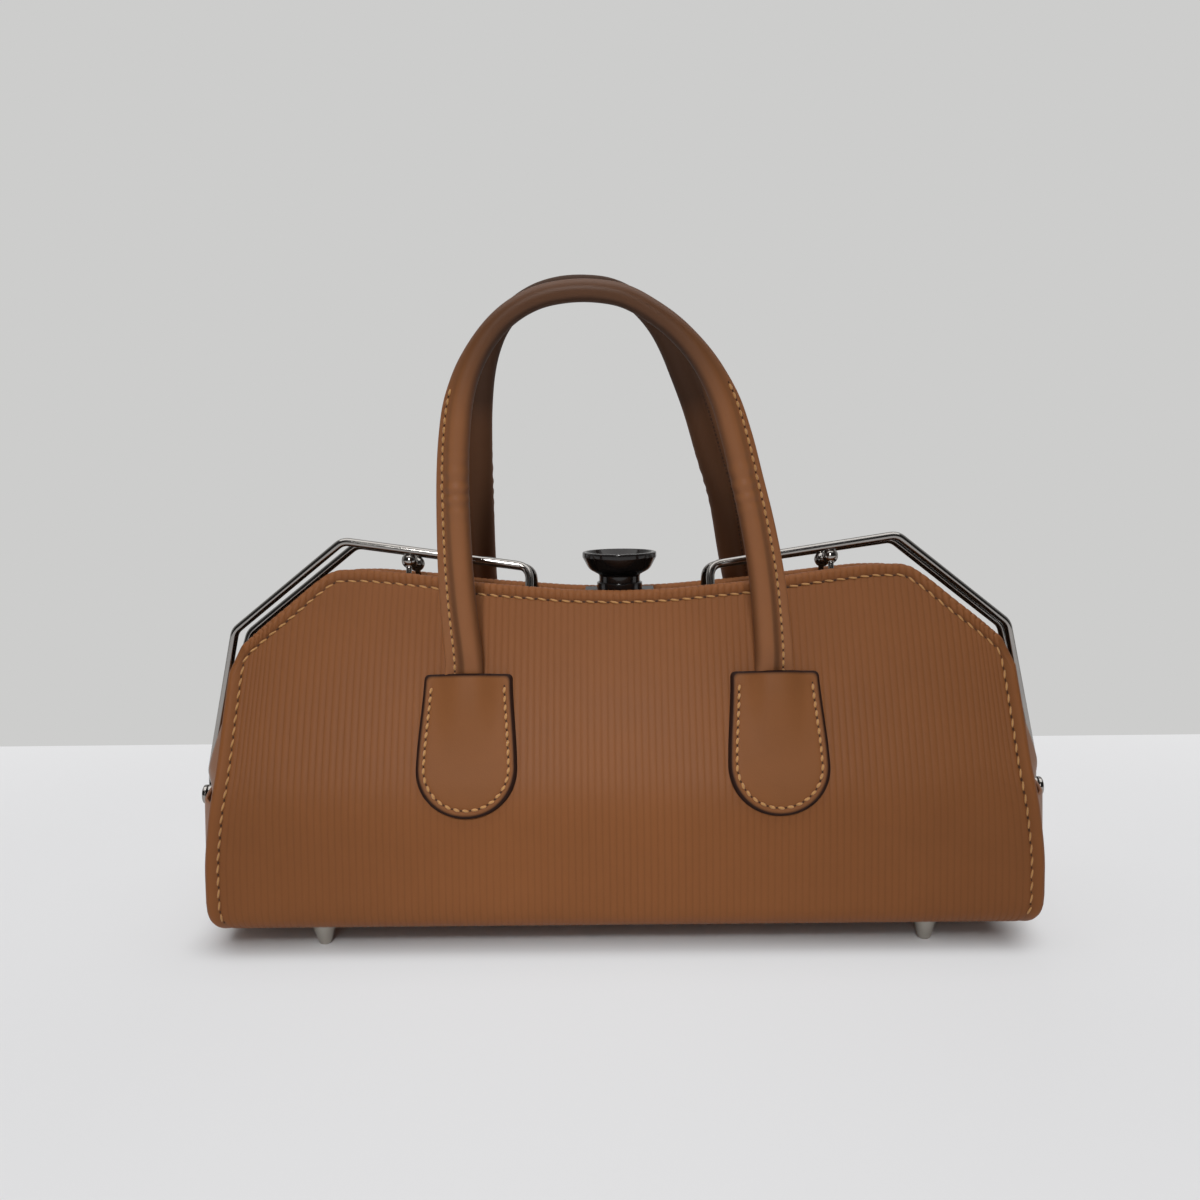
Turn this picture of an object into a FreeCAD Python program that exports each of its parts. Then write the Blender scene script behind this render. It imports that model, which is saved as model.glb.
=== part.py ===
"""Top handle bag: leather body on a hinged wire frame, rolled handles and a press-knob lock.

Millimetres, +Z up, +X along the bag, front towards -Y.
The origin is on the floor under the middle of the bag.
"""
import FreeCAD, Part
import math
import os
import Sketcher
from FreeCAD import Placement, Rotation, Vector

SIZES = {
    # Hinge line of the two jaws
    "hinge_height": 51.0,
    "hinge_pin_radius": 2.0,
    "running_gap": 0.05,
    "free_gap": 0.3,
    "glue_line": 0.05,
    # Leather panels: an arc about the hinge line, then a long arc up to the mouth
    "panel_swing_radius": 60.3,
    "panel_bend_angle": 21.5,
    "mouth_half_depth": 15.85,
    "panel_thickness": 2.6,
    "panel_low": 54.0,
    "panel_low_half": 163.4,
    "corner_inset": 3.9,
    "corner_height": 118.0,
    "corner_round": 9.0,
    "shoulder_half": 116.0,
    "shoulder_rise": 11.0,
    "shoulder_round": 9.0,
    "dip_height": 142.0,
    "dip_round": 260.0,
    "rear_drop": 3.0,
    # Steel strip and lining inside each panel
    "frame_thickness": 1.6,
    "frame_inset": 3.5,
    "frame_width": 10.0,
    "frame_corner_share": 0.4,
    "frame_shoulder_share": 0.42,
    "frame_peak_share": 1.05,
    "lining_thickness": 0.8,
    "lining_margin": 2.0,
    "lining_inset": 11.4,
    # Band of each panel that folds as its jaw opens
    "fold_overhang": 0.8,
    # Leather wrap under the bottom
    "wrap_half_depth": 61.6,
    "wrap_overhang": 1.1,
    "wrap_thickness": 2.6,
    "wrap_top": 21.0,
    "wrap_bottom": 11.0,
    "wrap_round": 9.5,
    "board_inset": 4.5,
    "board_thickness": 2.0,
    # Side gussets
    "gusset_gap": 0.1,
    "gusset_bulge": 11.4,
    "gusset_toe_bulge": 5.4,
    "gusset_thickness": 2.0,
    "gusset_seam": 3.0,
    "gusset_toe_half_depth": 49.5,
    "gusset_low_height": 18.0,
    "gusset_low_half_depth": 60.0,
    "gusset_bend_height": 62.0,
    "gusset_bend_half_depth": 58.6,
    "gusset_top_gap": 0.9,
    "gusset_top_bulge": 2.6,
    "gusset_top_drop": 5.0,
    "gusset_top_half_depth": 36.0,
    # Feet
    "foot_inset": 41.5,
    "foot_y": 43.0,
    "foot_tip_radius": 2.4,
    "foot_top_radius": 5.3,
    "foot_collar": 1.5,
    "foot_stud_radius": 1.8,
    "washer_radius": 5.0,
    "washer_thickness": 1.0,
    # Hinge plates and their rivets
    "plate_thickness": 1.8,
    "plate_half_width": 4.5,
    "plate_low": 17.0,
    "rivet_radius": 1.4,
    "rivet_head_radius": 2.7,
    "rivet_head": 1.3,
    "rivet_low_height": 24.0,
    "rivet_high_height": 38.0,
    "pin_head_radius": 4.2,
    "pin_head": 1.9,
    "head_round_share": 0.6,
    # Wire arms
    "wire_radius": 1.5,
    "wire_end_x": 38.0,
    "wire_stub_drop": 11.0,
    "wire_end_rise": 9.5,
    "wire_shoulder_offset": 1.0,
    "wire_shoulder_y": 9.5,
    "wire_shoulder_rise": 10.0,
    "wire_corner_offset": 5.5,
    "wire_corner_y": 7.5,
    "wire_corner_rise": 7.0,
    "wire_foot_y": 4.5,
    "wire_foot_height": 63.0,
    "wire_bend": 5.0,
    "lug_thickness": 2.0,
    "lug_radius": 4.5,
    "lug_half_width": 2.4,
    # Ball stand-offs
    "ball_x": 89.0,
    "ball_radius": 3.4,
    "ball_seat": 0.4,
    "ball_shank_radius": 1.2,
    "ball_shank": 13.0,
    # Tabs and the handle ends inside them
    "tab_x": 61.5,
    "tab_length": 55.0,
    "tab_top_half": 17.8,
    "tab_rise": 1.5,
    "tab_low_half": 20.8,
    "tab_round_share": 0.92,
    "tab_thickness": 4.2,
    "tab_wall": 1.0,
    "tongue_length": 22.5,
    "tongue_half_width": 8.8,
    "cheek_thickness": 2.0,
    "cheek_half_width": 2.85,
    "cheek_round": 2.2,
    # Handles
    "handle_axis_rise": 6.0,
    "handle_radius": 5.5,
    "handle_lift": 0.7,
    "handle_pin_radius": 1.5,
    "handle_bend": 49.0,
    "front_handle_reach": 146.0,
    "front_handle_left": 65.0,
    "front_handle_right": 31.0,
    "front_handle_angle": 5.0,
    "rear_handle_reach": 152.0,
    "rear_handle_left": 62.0,
    "rear_handle_right": 31.0,
    "rear_handle_angle": 8.0,
    "flange_width": 5.5,
    "flange_root": 3.3,
    "flange_thickness": 3.0,
    "flange_low": 12.0,
    "flange_high": 92.0,
    # Lock
    "lock_half_width": 15.0,
    "lock_front": 12.5,
    "lock_drop": 2.5,
    "lock_plate_thickness": 2.0,
    "lock_flange_drop": 12.5,
    "bracket_thickness": 1.8,
    "stem_radius": 3.0,
    "stem_drop": 11.85,
    "neck_radius": 8.8,
    "neck_lift": 2.7,
    "neck_wall": 1.2,
    "neck_roof": 0.6,
    "bowl_lift": 7.3,
    "bowl_flare_radius": 13.2,
    "bowl_flare_rise": 2.4,
    "bowl_flare_round": 4.0,
    "bowl_radius": 15.9,
    "bowl_height": 9.8,
    "rim_height": 2.2,
    "rim_low_round": 1.2,
    "rim_top_round": 0.7,
    "dish_radius": 14.3,
    "dish_lip_round": 0.5,
    "dish_depth": 5.2,
    "dish_floor_radius": 10.5,
    "dish_floor_round": 3.0,
    "sleeve_wall": 0.9,
    "sleeve_height": 4.1,
    "clip_radius": 5.2,
    "clip_thickness": 1.15,
    "spring_radius": 5.3,
    "spring_wire_radius": 0.45,
    "spring_turns": 4.0,
    "keeper_half_width": 12.0,
    "keeper_drop": 6.5,
    "keeper_thickness": 2.0,
    "keeper_reach": 5.0,
    "keeper_flange_rise": 4.0,
    "keeper_flange_fall": 2.0,
    "keeper_slot_half": 3.6,
    "keeper_hole_half": 5.0,
    "keeper_hole_front": 10.5,
    "keeper_hole_back": 6.5,
    "leaf_half_width": 4.0,
    "leaf_thickness": 0.7,
    "tooth_front": 9.0,
    "tooth_thickness": 1.0,
    "tooth_rise": 0.8,
    # Reach of the cutting outlines beyond the solids
    "trim_reach": 400.0,
}

doc = FreeCAD.newDocument("top_handle_bag")
sheet = doc.addObject("Spreadsheet::Sheet", "sizes")
for row, (alias, number) in enumerate(SIZES.items(), start=1):
    sheet.set(f"A{row}", alias)
    sheet.set(f"B{row}", str(number))
    sheet.setAlias(f"B{row}", alias)
doc.recompute()

sub_parts = []


class Dim:
    """A length or angle held both as an expression on the sheet and as its present number."""

    def __init__(self, text, value):
        self.text = text
        self.value = value

    @staticmethod
    def wrap(other):
        return other if isinstance(other, Dim) else Dim(f"({float(other)})", float(other))

    def combine(self, sign, other, value):
        return Dim(f"({self.text} {sign} {other.text})", value)

    def __add__(self, other):
        other = Dim.wrap(other)
        return self.combine("+", other, self.value + other.value)

    def __sub__(self, other):
        other = Dim.wrap(other)
        return self.combine("-", other, self.value - other.value)

    def __mul__(self, other):
        other = Dim.wrap(other)
        return self.combine("*", other, self.value * other.value)

    def __truediv__(self, other):
        other = Dim.wrap(other)
        return self.combine("/", other, self.value / other.value)

    def __radd__(self, other):
        return Dim.wrap(other) + self

    def __rsub__(self, other):
        return Dim.wrap(other) - self

    def __rmul__(self, other):
        return Dim.wrap(other) * self

    def __neg__(self):
        return Dim.wrap(0) - self


def dim(alias):
    return Dim(f"sizes.{alias}", float(sheet.get(alias)))


def root(inner):
    return Dim(f"sqrt({inner.text})", math.sqrt(inner.value))


def sine(angle):
    return Dim(f"sin({angle.text})", math.sin(math.radians(angle.value)))


def cosine(angle):
    return Dim(f"cos({angle.text})", math.cos(math.radians(angle.value)))


ZERO = Dim.wrap(0)
HINGE = dim("hinge_height")
CORNER_HALF = dim("panel_low_half") - dim("corner_inset")
LINING_HALF = dim("panel_low_half") - dim("lining_inset")
WRAP_HALF = dim("panel_low_half") + dim("wrap_overhang")
GUSSET_EDGE = WRAP_HALF + dim("gusset_gap")
FOOT_X = WRAP_HALF - dim("foot_inset")
SHOULDER_Z = dim("dip_height") + dim("shoulder_rise")
WIRE_END_Z = dim("dip_height") + dim("wire_end_rise")
WIRE_SHOULDER_X = dim("shoulder_half") + dim("wire_shoulder_offset")
WIRE_SHOULDER_Z = SHOULDER_Z + dim("wire_shoulder_rise")
TAB_LOW = dim("panel_low") + dim("tab_rise")
TAB_TOP = TAB_LOW + dim("tab_length")
TONGUE_LOW = TAB_TOP - dim("tongue_length")
LOCK_TOP = dim("dip_height") - dim("lock_drop")
STEM_LOW = LOCK_TOP - dim("stem_drop")
BOWL_LOW = LOCK_TOP + dim("bowl_lift")
BOWL_TOP = BOWL_LOW + dim("bowl_height")
KEEPER_TOP = LOCK_TOP - dim("keeper_drop")
SWING = dim("panel_swing_radius")
BEND = dim("panel_bend_angle")
PANEL = dim("panel_thickness")
BACKING = PANEL + dim("glue_line")
STRIP_FACE = BACKING + dim("frame_thickness")
# Long arc of the panels from the bend to the mouth; its centre, the bend and the hinge are in line
BEND_TO_MOUTH_Y = SWING * cosine(BEND) - dim("mouth_half_depth")
BEND_TO_MOUTH_Z = SHOULDER_Z - HINGE - SWING * sine(BEND)
MOUTH_CHORD = BEND_TO_MOUTH_Y * BEND_TO_MOUTH_Y + BEND_TO_MOUTH_Z * BEND_TO_MOUTH_Z
SWEEP = MOUTH_CHORD / (2 * (BEND_TO_MOUTH_Y * cosine(BEND) - BEND_TO_MOUTH_Z * sine(BEND)))
SWEEP_Y = (SWEEP - SWING) * cosine(BEND)
SWEEP_Z = HINGE - (SWEEP - SWING) * sine(BEND)


def surface_y(height, depth):
    """Y of the front panel at a height on its long arc, at a depth below its outer face."""
    radius = SWEEP - depth
    rise = height - SWEEP_Z
    return SWEEP_Y - root(radius * radius - rise * rise)


# Axis on which a handle swings, clear of the panel's face by the handle's radius
HANDLE_Z = TAB_TOP + dim("handle_axis_rise")
HANDLE_Y = surface_y(HANDLE_Z, -(dim("handle_radius") + dim("handle_lift")))


def new_body(name, turn=0.0):
    body = doc.addObject("PartDesign::Body", name)
    body.Label = name
    body.Placement = Placement(Vector(), Rotation(Vector(0, 0, 1), turn))
    sub_parts.append(body)
    return body


def new_sketch(body, name, role, offset=None):
    sketch = body.newObject("Sketcher::SketchObject", f"{body.Name}_{name}")
    plane = next(item for item in body.Origin.OriginFeatures if item.Role == role)
    sketch.AttachmentSupport = [(plane, "")]
    sketch.MapMode = "FlatFace"
    if offset is not None:
        sketch.setExpression("AttachmentOffset.Base.z", offset.text)
    return sketch


def bind(sketch, size, kind, *target):
    index = sketch.addConstraint(Sketcher.Constraint(kind, *target, size.value))
    sketch.setExpression(f"Constraints[{index}]", size.text)


def tie(sketch, kind, *target):
    sketch.addConstraint(Sketcher.Constraint(kind, *target))


def hold(sketch, item, end, x, y):
    bind(sketch, x, "DistanceX", item, end)
    bind(sketch, y, "DistanceY", item, end)


def arc_between(centre, start, end):
    """Anticlockwise arc about a centre from one point to another."""
    first = math.atan2(start.y - centre.y, start.x - centre.x)
    last = math.atan2(end.y - centre.y, end.x - centre.x)
    if last < first:
        last += 2 * math.pi
    circle = Part.Circle(centre, Vector(0, 0, 1), centre.distanceToPoint(start))
    return Part.ArcOfCircle(circle, first, last)


def add_path(sketch, corners, closed):
    """Straight runs through corners given as (x, y) or, rounded, as (x, y, radius)."""
    points = [Vector(corner[0].value, corner[1].value, 0) for corner in corners]
    count = len(corners)
    enter = list(points)
    leave = list(points)
    centres = {}
    for index, corner in enumerate(corners):
        if len(corner) == 3:
            back = (points[index - 1] - points[index]).normalize()
            ahead = (points[(index + 1) % count] - points[index]).normalize()
            half = back.getAngle(ahead) / 2
            enter[index] = points[index] + back * (corner[2].value / math.tan(half))
            leave[index] = points[index] + ahead * (corner[2].value / math.tan(half))
            middle = Vector(back + ahead).normalize()
            centres[index] = points[index] + middle * (corner[2].value / math.sin(half))
    first = sketch.GeometryCount
    runs = count if closed else count - 1
    for index in range(runs):
        sketch.addGeometry(Part.LineSegment(leave[index], enter[(index + 1) % count]), False)
    for index, corner in enumerate(corners):
        before = first + (index - 1) % count
        after = first + index
        if index in centres:
            left_turn = (enter[index] - points[index]).cross(leave[index] - points[index]).z < 0
            ends = (enter[index], leave[index]) if left_turn else (leave[index], enter[index])
            arc = sketch.addGeometry(arc_between(centres[index], *ends), False)
            tie(sketch, "Tangent", before, 2, arc, 1 if left_turn else 2)
            tie(sketch, "Tangent", after, 1, arc, 2 if left_turn else 1)
            bind(sketch, corner[2], "Radius", arc)
            point = sketch.addGeometry(Part.Point(points[index]), True)
            hold(sketch, point, 1, corner[0], corner[1])
            tie(sketch, "PointOnObject", point, 1, before)
            tie(sketch, "PointOnObject", point, 1, after)
        elif closed or 0 < index < count - 1:
            tie(sketch, "Coincident", before, 2, after, 1)
            hold(sketch, after, 1, corner[0], corner[1])
        elif index == 0:
            hold(sketch, after, 1, corner[0], corner[1])
        else:
            hold(sketch, before, 2, corner[0], corner[1])


def add_circle(sketch, x, y, radius):
    item = sketch.addGeometry(Part.Circle(Vector(x.value, y.value, 0), Vector(0, 0, 1), radius.value), False)
    hold(sketch, item, 3, x, y)
    bind(sketch, radius, "Radius", item)


def add_box(sketch, left, low, right, high):
    add_path(sketch, [(left, low), (right, low), (right, high), (left, high)], True)


def add_face_line(sketch, depth, low, high):
    """One face of a sheet on the panel's curve, from low to high; returns its two end references."""
    bend_z = HINGE + (SWING - depth) * sine(BEND)
    far = Vector(SWEEP_Y.value, SWEEP_Z.value, 0)
    near = Vector(0, HINGE.value, 0)

    def on_circle(centre, radius, height):
        reach = math.sqrt(radius * radius - (height - centre.y) ** 2)
        return Vector(centre.x - reach, height, 0)

    long_radius = SWEEP - depth
    top = on_circle(far, long_radius.value, high.value)
    if low.value >= bend_z.value:
        start = on_circle(far, long_radius.value, low.value)
        sweep = sketch.addGeometry(arc_between(far, top, start), False)
        hold(sketch, sweep, 3, SWEEP_Y, SWEEP_Z)
        bind(sketch, low, "DistanceY", sweep, 2)
        foot = (sweep, 2)
    else:
        short_radius = SWING - depth
        bend = on_circle(near, short_radius.value, bend_z.value)
        start = on_circle(near, short_radius.value, low.value)
        swing = sketch.addGeometry(arc_between(near, bend, start), False)
        sweep = sketch.addGeometry(arc_between(far, top, bend), False)
        hold(sketch, swing, 3, ZERO, HINGE)
        bind(sketch, short_radius, "Radius", swing)
        bind(sketch, low, "DistanceY", swing, 2)
        bind(sketch, bend_z, "DistanceY", swing, 1)
        tie(sketch, "Tangent", sweep, 2, swing, 1)
        foot = (swing, 2)
    bind(sketch, long_radius, "Radius", sweep)
    bind(sketch, high, "DistanceY", sweep, 1)
    return foot, (sweep, 1), start, top


def add_sheet(sketch, outer, inner, low, high):
    """Closed section of a sheet between two depths below the panel's outer face."""
    faces = [add_face_line(sketch, depth, low, high) for depth in (outer, inner)]
    for end in (0, 1):
        line = sketch.addGeometry(Part.LineSegment(faces[0][end + 2], faces[1][end + 2]), False)
        tie(sketch, "Coincident", line, 1, *faces[0][end])
        tie(sketch, "Coincident", line, 2, *faces[1][end])


def extrude(kind, body, sketch, length, symmetric=True):
    feature = body.newObject(f"PartDesign::{kind}", f"{sketch.Name}_{kind.lower()}")
    feature.Profile = sketch
    feature.SideType = "Symmetric" if symmetric else "One side"
    if length is None:
        feature.Type = "ThroughAll"
    else:
        feature.setExpression("Length", length.text)
    return feature


def trim(body, name, corners):
    """Cut away what lies outside an outline seen from the front."""
    reach = dim("trim_reach")
    sketch = new_sketch(body, name, "XZ_Plane")
    add_box(sketch, -reach, -reach, reach, reach)
    add_path(sketch, corners, True)
    extrude("Pocket", body, sketch, None)


def drill(body, name, role, circles):
    sketch = new_sketch(body, name, role)
    for circle in circles:
        add_circle(sketch, *circle)
    extrude("Pocket", body, sketch, None)


def revolve(body, name, role, axis, corners):
    sketch = new_sketch(body, name, role)
    add_path(sketch, corners, True)
    feature = body.newObject("PartDesign::Revolution", f"{sketch.Name}_turned")
    feature.Profile = sketch
    feature.ReferenceAxis = (sketch, [axis])
    feature.Angle = 360.0


def mirrored(half):
    """A half outline, right side from bottom to top, completed on the left."""
    other = [(-corner[0], *corner[1:]) for corner in reversed(half) if corner[0].value != 0]
    return half + other


def ring(name, outer, inner, low, high):
    """Plain upright ring about the lock's axis."""
    cylinders = []
    for part, radius in (("outside", outer), ("inside", inner)):
        cylinder = doc.addObject("Part::Cylinder", f"{name}_{part}")
        cylinder.setExpression("Radius", radius.text)
        cylinder.setExpression("Height", (high - low).text)
        cylinder.setExpression("Placement.Base.z", low.text)
        cylinders.append(cylinder)
    cut = doc.addObject("Part::Cut", name)
    cut.Base, cut.Tool = cylinders
    cut.Label = name
    sub_parts.append(cut)


def build_panel(side, turn, drop):
    body = new_body(f"{side}_panel", turn)
    reach = SHOULDER_Z + dim("corner_round")
    section = new_sketch(body, "section", "YZ_Plane")
    add_sheet(section, ZERO, PANEL, dim("panel_low"), reach)
    extrude("Pad", body, section, 2 * dim("panel_low_half") + dim("corner_round"))
    side_lean = (dim("panel_low_half") - CORNER_HALF) / (dim("corner_height") - dim("panel_low"))
    hem = dim("panel_low") - dim("corner_round")
    trim(body, "outline", mirrored([
        (dim("panel_low_half") + side_lean * dim("corner_round"), hem),
        (CORNER_HALF, dim("corner_height") - drop, dim("corner_round")),
        (dim("shoulder_half"), SHOULDER_Z - drop, dim("shoulder_round")),
        (ZERO, dim("dip_height") - drop, dim("dip_round")),
    ]))


def frame_corners(drop, inset):
    """Right half of the top outline, moved in from the panel's edge."""
    return [
        (CORNER_HALF - inset, dim("corner_height") - drop - inset * dim("frame_corner_share")),
        (dim("shoulder_half") - inset * dim("frame_shoulder_share"),
         SHOULDER_Z - drop - inset * dim("frame_peak_share")),
        (ZERO, dim("dip_height") - drop - inset),
    ]


def build_frame(side, turn, drop):
    body = new_body(f"{side}_frame", turn)
    low = dim("corner_height") - drop - dim("frame_width") - dim("frame_inset")
    section = new_sketch(body, "section", "YZ_Plane")
    add_sheet(section, BACKING, STRIP_FACE, low, SHOULDER_Z)
    extrude("Pad", body, section, 2 * dim("panel_low_half"))
    outer = frame_corners(drop, dim("frame_inset"))
    inner = frame_corners(drop, dim("frame_inset") + dim("frame_width"))
    left_outer = [(-x, z) for x, z in reversed(outer[:2])]
    left_inner = [(-x, z) for x, z in inner[:2]]
    trim(body, "band", outer + left_outer + left_inner + [inner[2]] + [inner[1], inner[0]])


def build_lining(side, turn, drop):
    body = new_body(f"{side}_lining", turn)
    section = new_sketch(body, "section", "YZ_Plane")
    hem = dim("panel_low") + dim("lining_margin")
    add_sheet(section, BACKING, BACKING + dim("lining_thickness"), hem, dim("dip_height"))
    extrude("Pad", body, section, 2 * LINING_HALF + dim("lining_margin"))
    inset = dim("frame_inset") + dim("frame_width") + dim("lining_margin")
    corner, shoulder, dip = frame_corners(drop, inset)
    trim(body, "outline", mirrored([
        (LINING_HALF, hem - dim("lining_margin")),
        (corner[0] - dim("lining_margin"), corner[1] - dim("lining_margin")),
        shoulder,
        dip,
    ]))


def build_fold(side, turn):
    """Band between the wrap and the panel's lower edge, straight from one outer face to the other."""
    body = new_body(f"{side}_fold", turn)
    low = dim("wrap_top") + dim("free_gap")
    high = dim("panel_low") - dim("free_gap")
    drop = high - HINGE
    top_y = root(SWING * SWING - drop * drop)
    foot_y = dim("wrap_half_depth")
    section = new_sketch(body, "section", "YZ_Plane")
    add_path(section, [
        (-foot_y, low),
        (PANEL - foot_y, low),
        (PANEL - top_y, high),
        (-top_y, high),
    ], True)
    extrude("Pad", body, section, 2 * (dim("panel_low_half") + dim("fold_overhang")))


def build_wrap():
    body = new_body("base_wrap")
    wall = dim("wrap_thickness")
    depth = dim("wrap_half_depth")
    top = dim("wrap_top")
    bottom = dim("wrap_bottom")
    bend = dim("wrap_round")
    section = new_sketch(body, "section", "YZ_Plane")
    add_path(section, [
        (-depth, top),
        (-depth, bottom, bend),
        (depth, bottom, bend),
        (depth, top),
        (depth - wall, top),
        (depth - wall, bottom + wall, bend - wall),
        (wall - depth, bottom + wall, bend - wall),
        (wall - depth, top),
    ], True)
    extrude("Pad", body, section, 2 * WRAP_HALF)
    drill(body, "stud_holes", "XY_Plane", foot_circles())


def foot_circles():
    return [(x * FOOT_X, y * dim("foot_y"), dim("foot_stud_radius")) for x in (-1, 1) for y in (-1, 1)]


def build_base_sheet(name, low, thickness):
    """Flat sheet on the floor of the wrap, with holes for the foot studs."""
    body = new_body(name)
    half_depth = dim("wrap_half_depth") - dim("wrap_round")
    outline = new_sketch(body, "outline", "XY_Plane", low)
    half_length = WRAP_HALF - dim("board_inset")
    add_box(outline, -half_length, -half_depth, half_length, half_depth)
    extrude("Pad", body, outline, thickness, symmetric=False)
    drill(body, "stud_holes", "XY_Plane", foot_circles())


def board_low():
    return dim("wrap_bottom") + dim("wrap_thickness")


def base_lining_low():
    return board_low() + dim("board_thickness")


def washer_low():
    return base_lining_low() + dim("lining_thickness")


def build_foot(name, x_side, y_side):
    body = new_body(name)
    seat = dim("wrap_bottom")
    stud = dim("foot_stud_radius")
    stud_top = washer_low() + dim("washer_thickness")
    revolve(body, "profile", "XZ_Plane", "V_Axis", [
        (ZERO, ZERO),
        (dim("foot_tip_radius"), ZERO),
        (dim("foot_top_radius"), seat - dim("foot_collar")),
        (dim("foot_top_radius"), seat),
        (stud, seat),
        (stud, stud_top),
        (ZERO, stud_top),
    ])
    body.setExpression("Placement.Base.x", (x_side * FOOT_X).text)
    body.setExpression("Placement.Base.y", (y_side * dim("foot_y")).text)


def build_washer(name, x_side, y_side):
    body = new_body(name)
    outline = new_sketch(body, "outline", "XY_Plane", washer_low())
    for radius in (dim("washer_radius"), dim("foot_stud_radius")):
        add_circle(outline, ZERO, ZERO, radius)
    extrude("Pad", body, outline, dim("washer_thickness"), symmetric=False)
    body.setExpression("Placement.Base.x", (x_side * FOOT_X).text)
    body.setExpression("Placement.Base.y", (y_side * dim("foot_y")).text)


def add_bow(sketch, edge, half_depth, bulge):
    """Arc bowed towards +X between two points of an edge; returns its item and its two ends."""
    radius = (half_depth * half_depth + bulge * bulge) / (2 * bulge)
    centre = edge + bulge - radius
    low = Vector(edge.value, -half_depth.value, 0)
    high = Vector(edge.value, half_depth.value, 0)
    item = sketch.addGeometry(arc_between(Vector(centre.value, 0, 0), low, high), False)
    bind(sketch, radius, "Radius", item)
    hold(sketch, item, 1, edge, -half_depth)
    hold(sketch, item, 2, edge, half_depth)
    return item, low, high


def build_gusset(name, turn):
    body = new_body(name, turn)
    wall = dim("gusset_thickness")
    seam = dim("gusset_seam")
    edge = GUSSET_EDGE
    top_height = dim("corner_height") - dim("gusset_top_drop")
    top_edge = CORNER_HALF + dim("gusset_top_gap")
    stations = [
        (dim("wrap_bottom"), edge, dim("gusset_toe_half_depth"), dim("gusset_toe_bulge")),
        (dim("gusset_low_height"), edge, dim("gusset_low_half_depth"), dim("gusset_bulge")),
        (dim("gusset_bend_height"), edge, dim("gusset_bend_half_depth"), dim("gusset_bulge")),
        (top_height, top_edge, dim("gusset_top_half_depth"), dim("gusset_top_bulge")),
    ]
    sketches = []
    for index, (height, line, half_depth, bulge) in enumerate(stations):
        sketch = new_sketch(body, f"station{index}", "XY_Plane", height)
        outer, *outer_ends = add_bow(sketch, line, half_depth, bulge)
        inner, *inner_ends = add_bow(sketch, line, half_depth - seam, bulge - wall)
        for end in (0, 1):
            lip = sketch.addGeometry(Part.LineSegment(outer_ends[end], inner_ends[end]), False)
            tie(sketch, "Coincident", lip, 1, outer, end + 1)
            tie(sketch, "Coincident", lip, 2, inner, end + 1)
        sketches.append(sketch)
    loft = body.newObject("PartDesign::AdditiveLoft", f"{name}_loft")
    loft.Profile = sketches[0]
    loft.Sections = sketches[1:]
    loft.Ruled = True
    heights = (dim("rivet_low_height"), dim("rivet_high_height"))
    rivets = [(ZERO, height, dim("rivet_radius")) for height in heights]
    drill(body, "rivet_holes", "YZ_Plane", rivets)


def plate_face():
    return GUSSET_EDGE + dim("gusset_bulge")


def lug_start(order):
    """Inner face of the first or second lug on a hinge pin."""
    pitch = dim("lug_thickness") + dim("free_gap")
    return plate_face() + dim("plate_thickness") + dim("free_gap") + order * pitch


def build_hinge_plate(name, turn):
    body = new_body(name, turn)
    half = dim("plate_half_width")
    outline = new_sketch(body, "outline", "YZ_Plane", plate_face())
    bend = half - dim("free_gap")
    add_path(outline, [
        (-half, dim("plate_low"), bend),
        (half, dim("plate_low"), bend),
        (half, HINGE + half, bend),
        (-half, HINGE + half, bend),
    ], True)
    extrude("Pad", body, outline, dim("plate_thickness"), symmetric=False)
    drill(body, "holes", "YZ_Plane", [
        (ZERO, HINGE, dim("hinge_pin_radius")),
        (ZERO, dim("rivet_low_height"), dim("rivet_radius")),
        (ZERO, dim("rivet_high_height"), dim("rivet_radius")),
    ])


def build_hinge_pin(name, turn):
    body = new_body(name, turn)
    shank = dim("hinge_pin_radius")
    head_low = lug_start(2)
    head_high = head_low + dim("pin_head")
    revolve(body, "profile", "XY_Plane", "H_Axis", [
        (plate_face(), ZERO),
        (plate_face(), shank),
        (head_low, shank),
        (head_low, dim("pin_head_radius")),
        (head_high, dim("pin_head_radius"), dim("pin_head") * dim("head_round_share")),
        (head_high, ZERO),
    ])
    body.setExpression("Placement.Base.z", HINGE.text)


def build_rivet(name, turn, height):
    body = new_body(name, turn)
    inside = plate_face() - dim("gusset_thickness") - dim("running_gap")
    outside = plate_face() + dim("plate_thickness")
    head = dim("rivet_head_radius")
    shank = dim("rivet_radius")
    revolve(body, "profile", "XY_Plane", "H_Axis", [
        (inside - dim("rivet_head"), ZERO),
        (inside - dim("rivet_head"), head),
        (inside, head),
        (inside, shank),
        (outside, shank),
        (outside, head),
        (outside + dim("rivet_head"), head, dim("rivet_head") * dim("head_round_share")),
        (outside + dim("rivet_head"), ZERO),
    ])
    body.setExpression("Placement.Base.z", dim(height).text)


def bent_rod(points, radius, bend):
    """Round rod along straight runs with rounded bends."""
    edges = []
    start = points[0]
    for before, corner, after in zip(points, points[1:], points[2:]):
        back = (before - corner).normalize()
        ahead = (after - corner).normalize()
        half = back.getAngle(ahead) / 2
        enter = corner + back * (bend / math.tan(half))
        leave = corner + ahead * (bend / math.tan(half))
        middle = Vector(back + ahead).normalize()
        crown = corner + middle * (bend / math.sin(half) - bend)
        edges.append(Part.LineSegment(start, enter).toShape())
        edges.append(Part.Arc(enter, crown, leave).toShape())
        start = leave
    edges.append(Part.LineSegment(start, points[-1]).toShape())
    profile = Part.Wire([Part.makeCircle(radius, points[0], points[1] - points[0])])
    return Part.Wire(edges).makePipeShell([profile], True, False)


def wire_centre_depth():
    return STRIP_FACE + dim("wire_radius")


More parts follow.
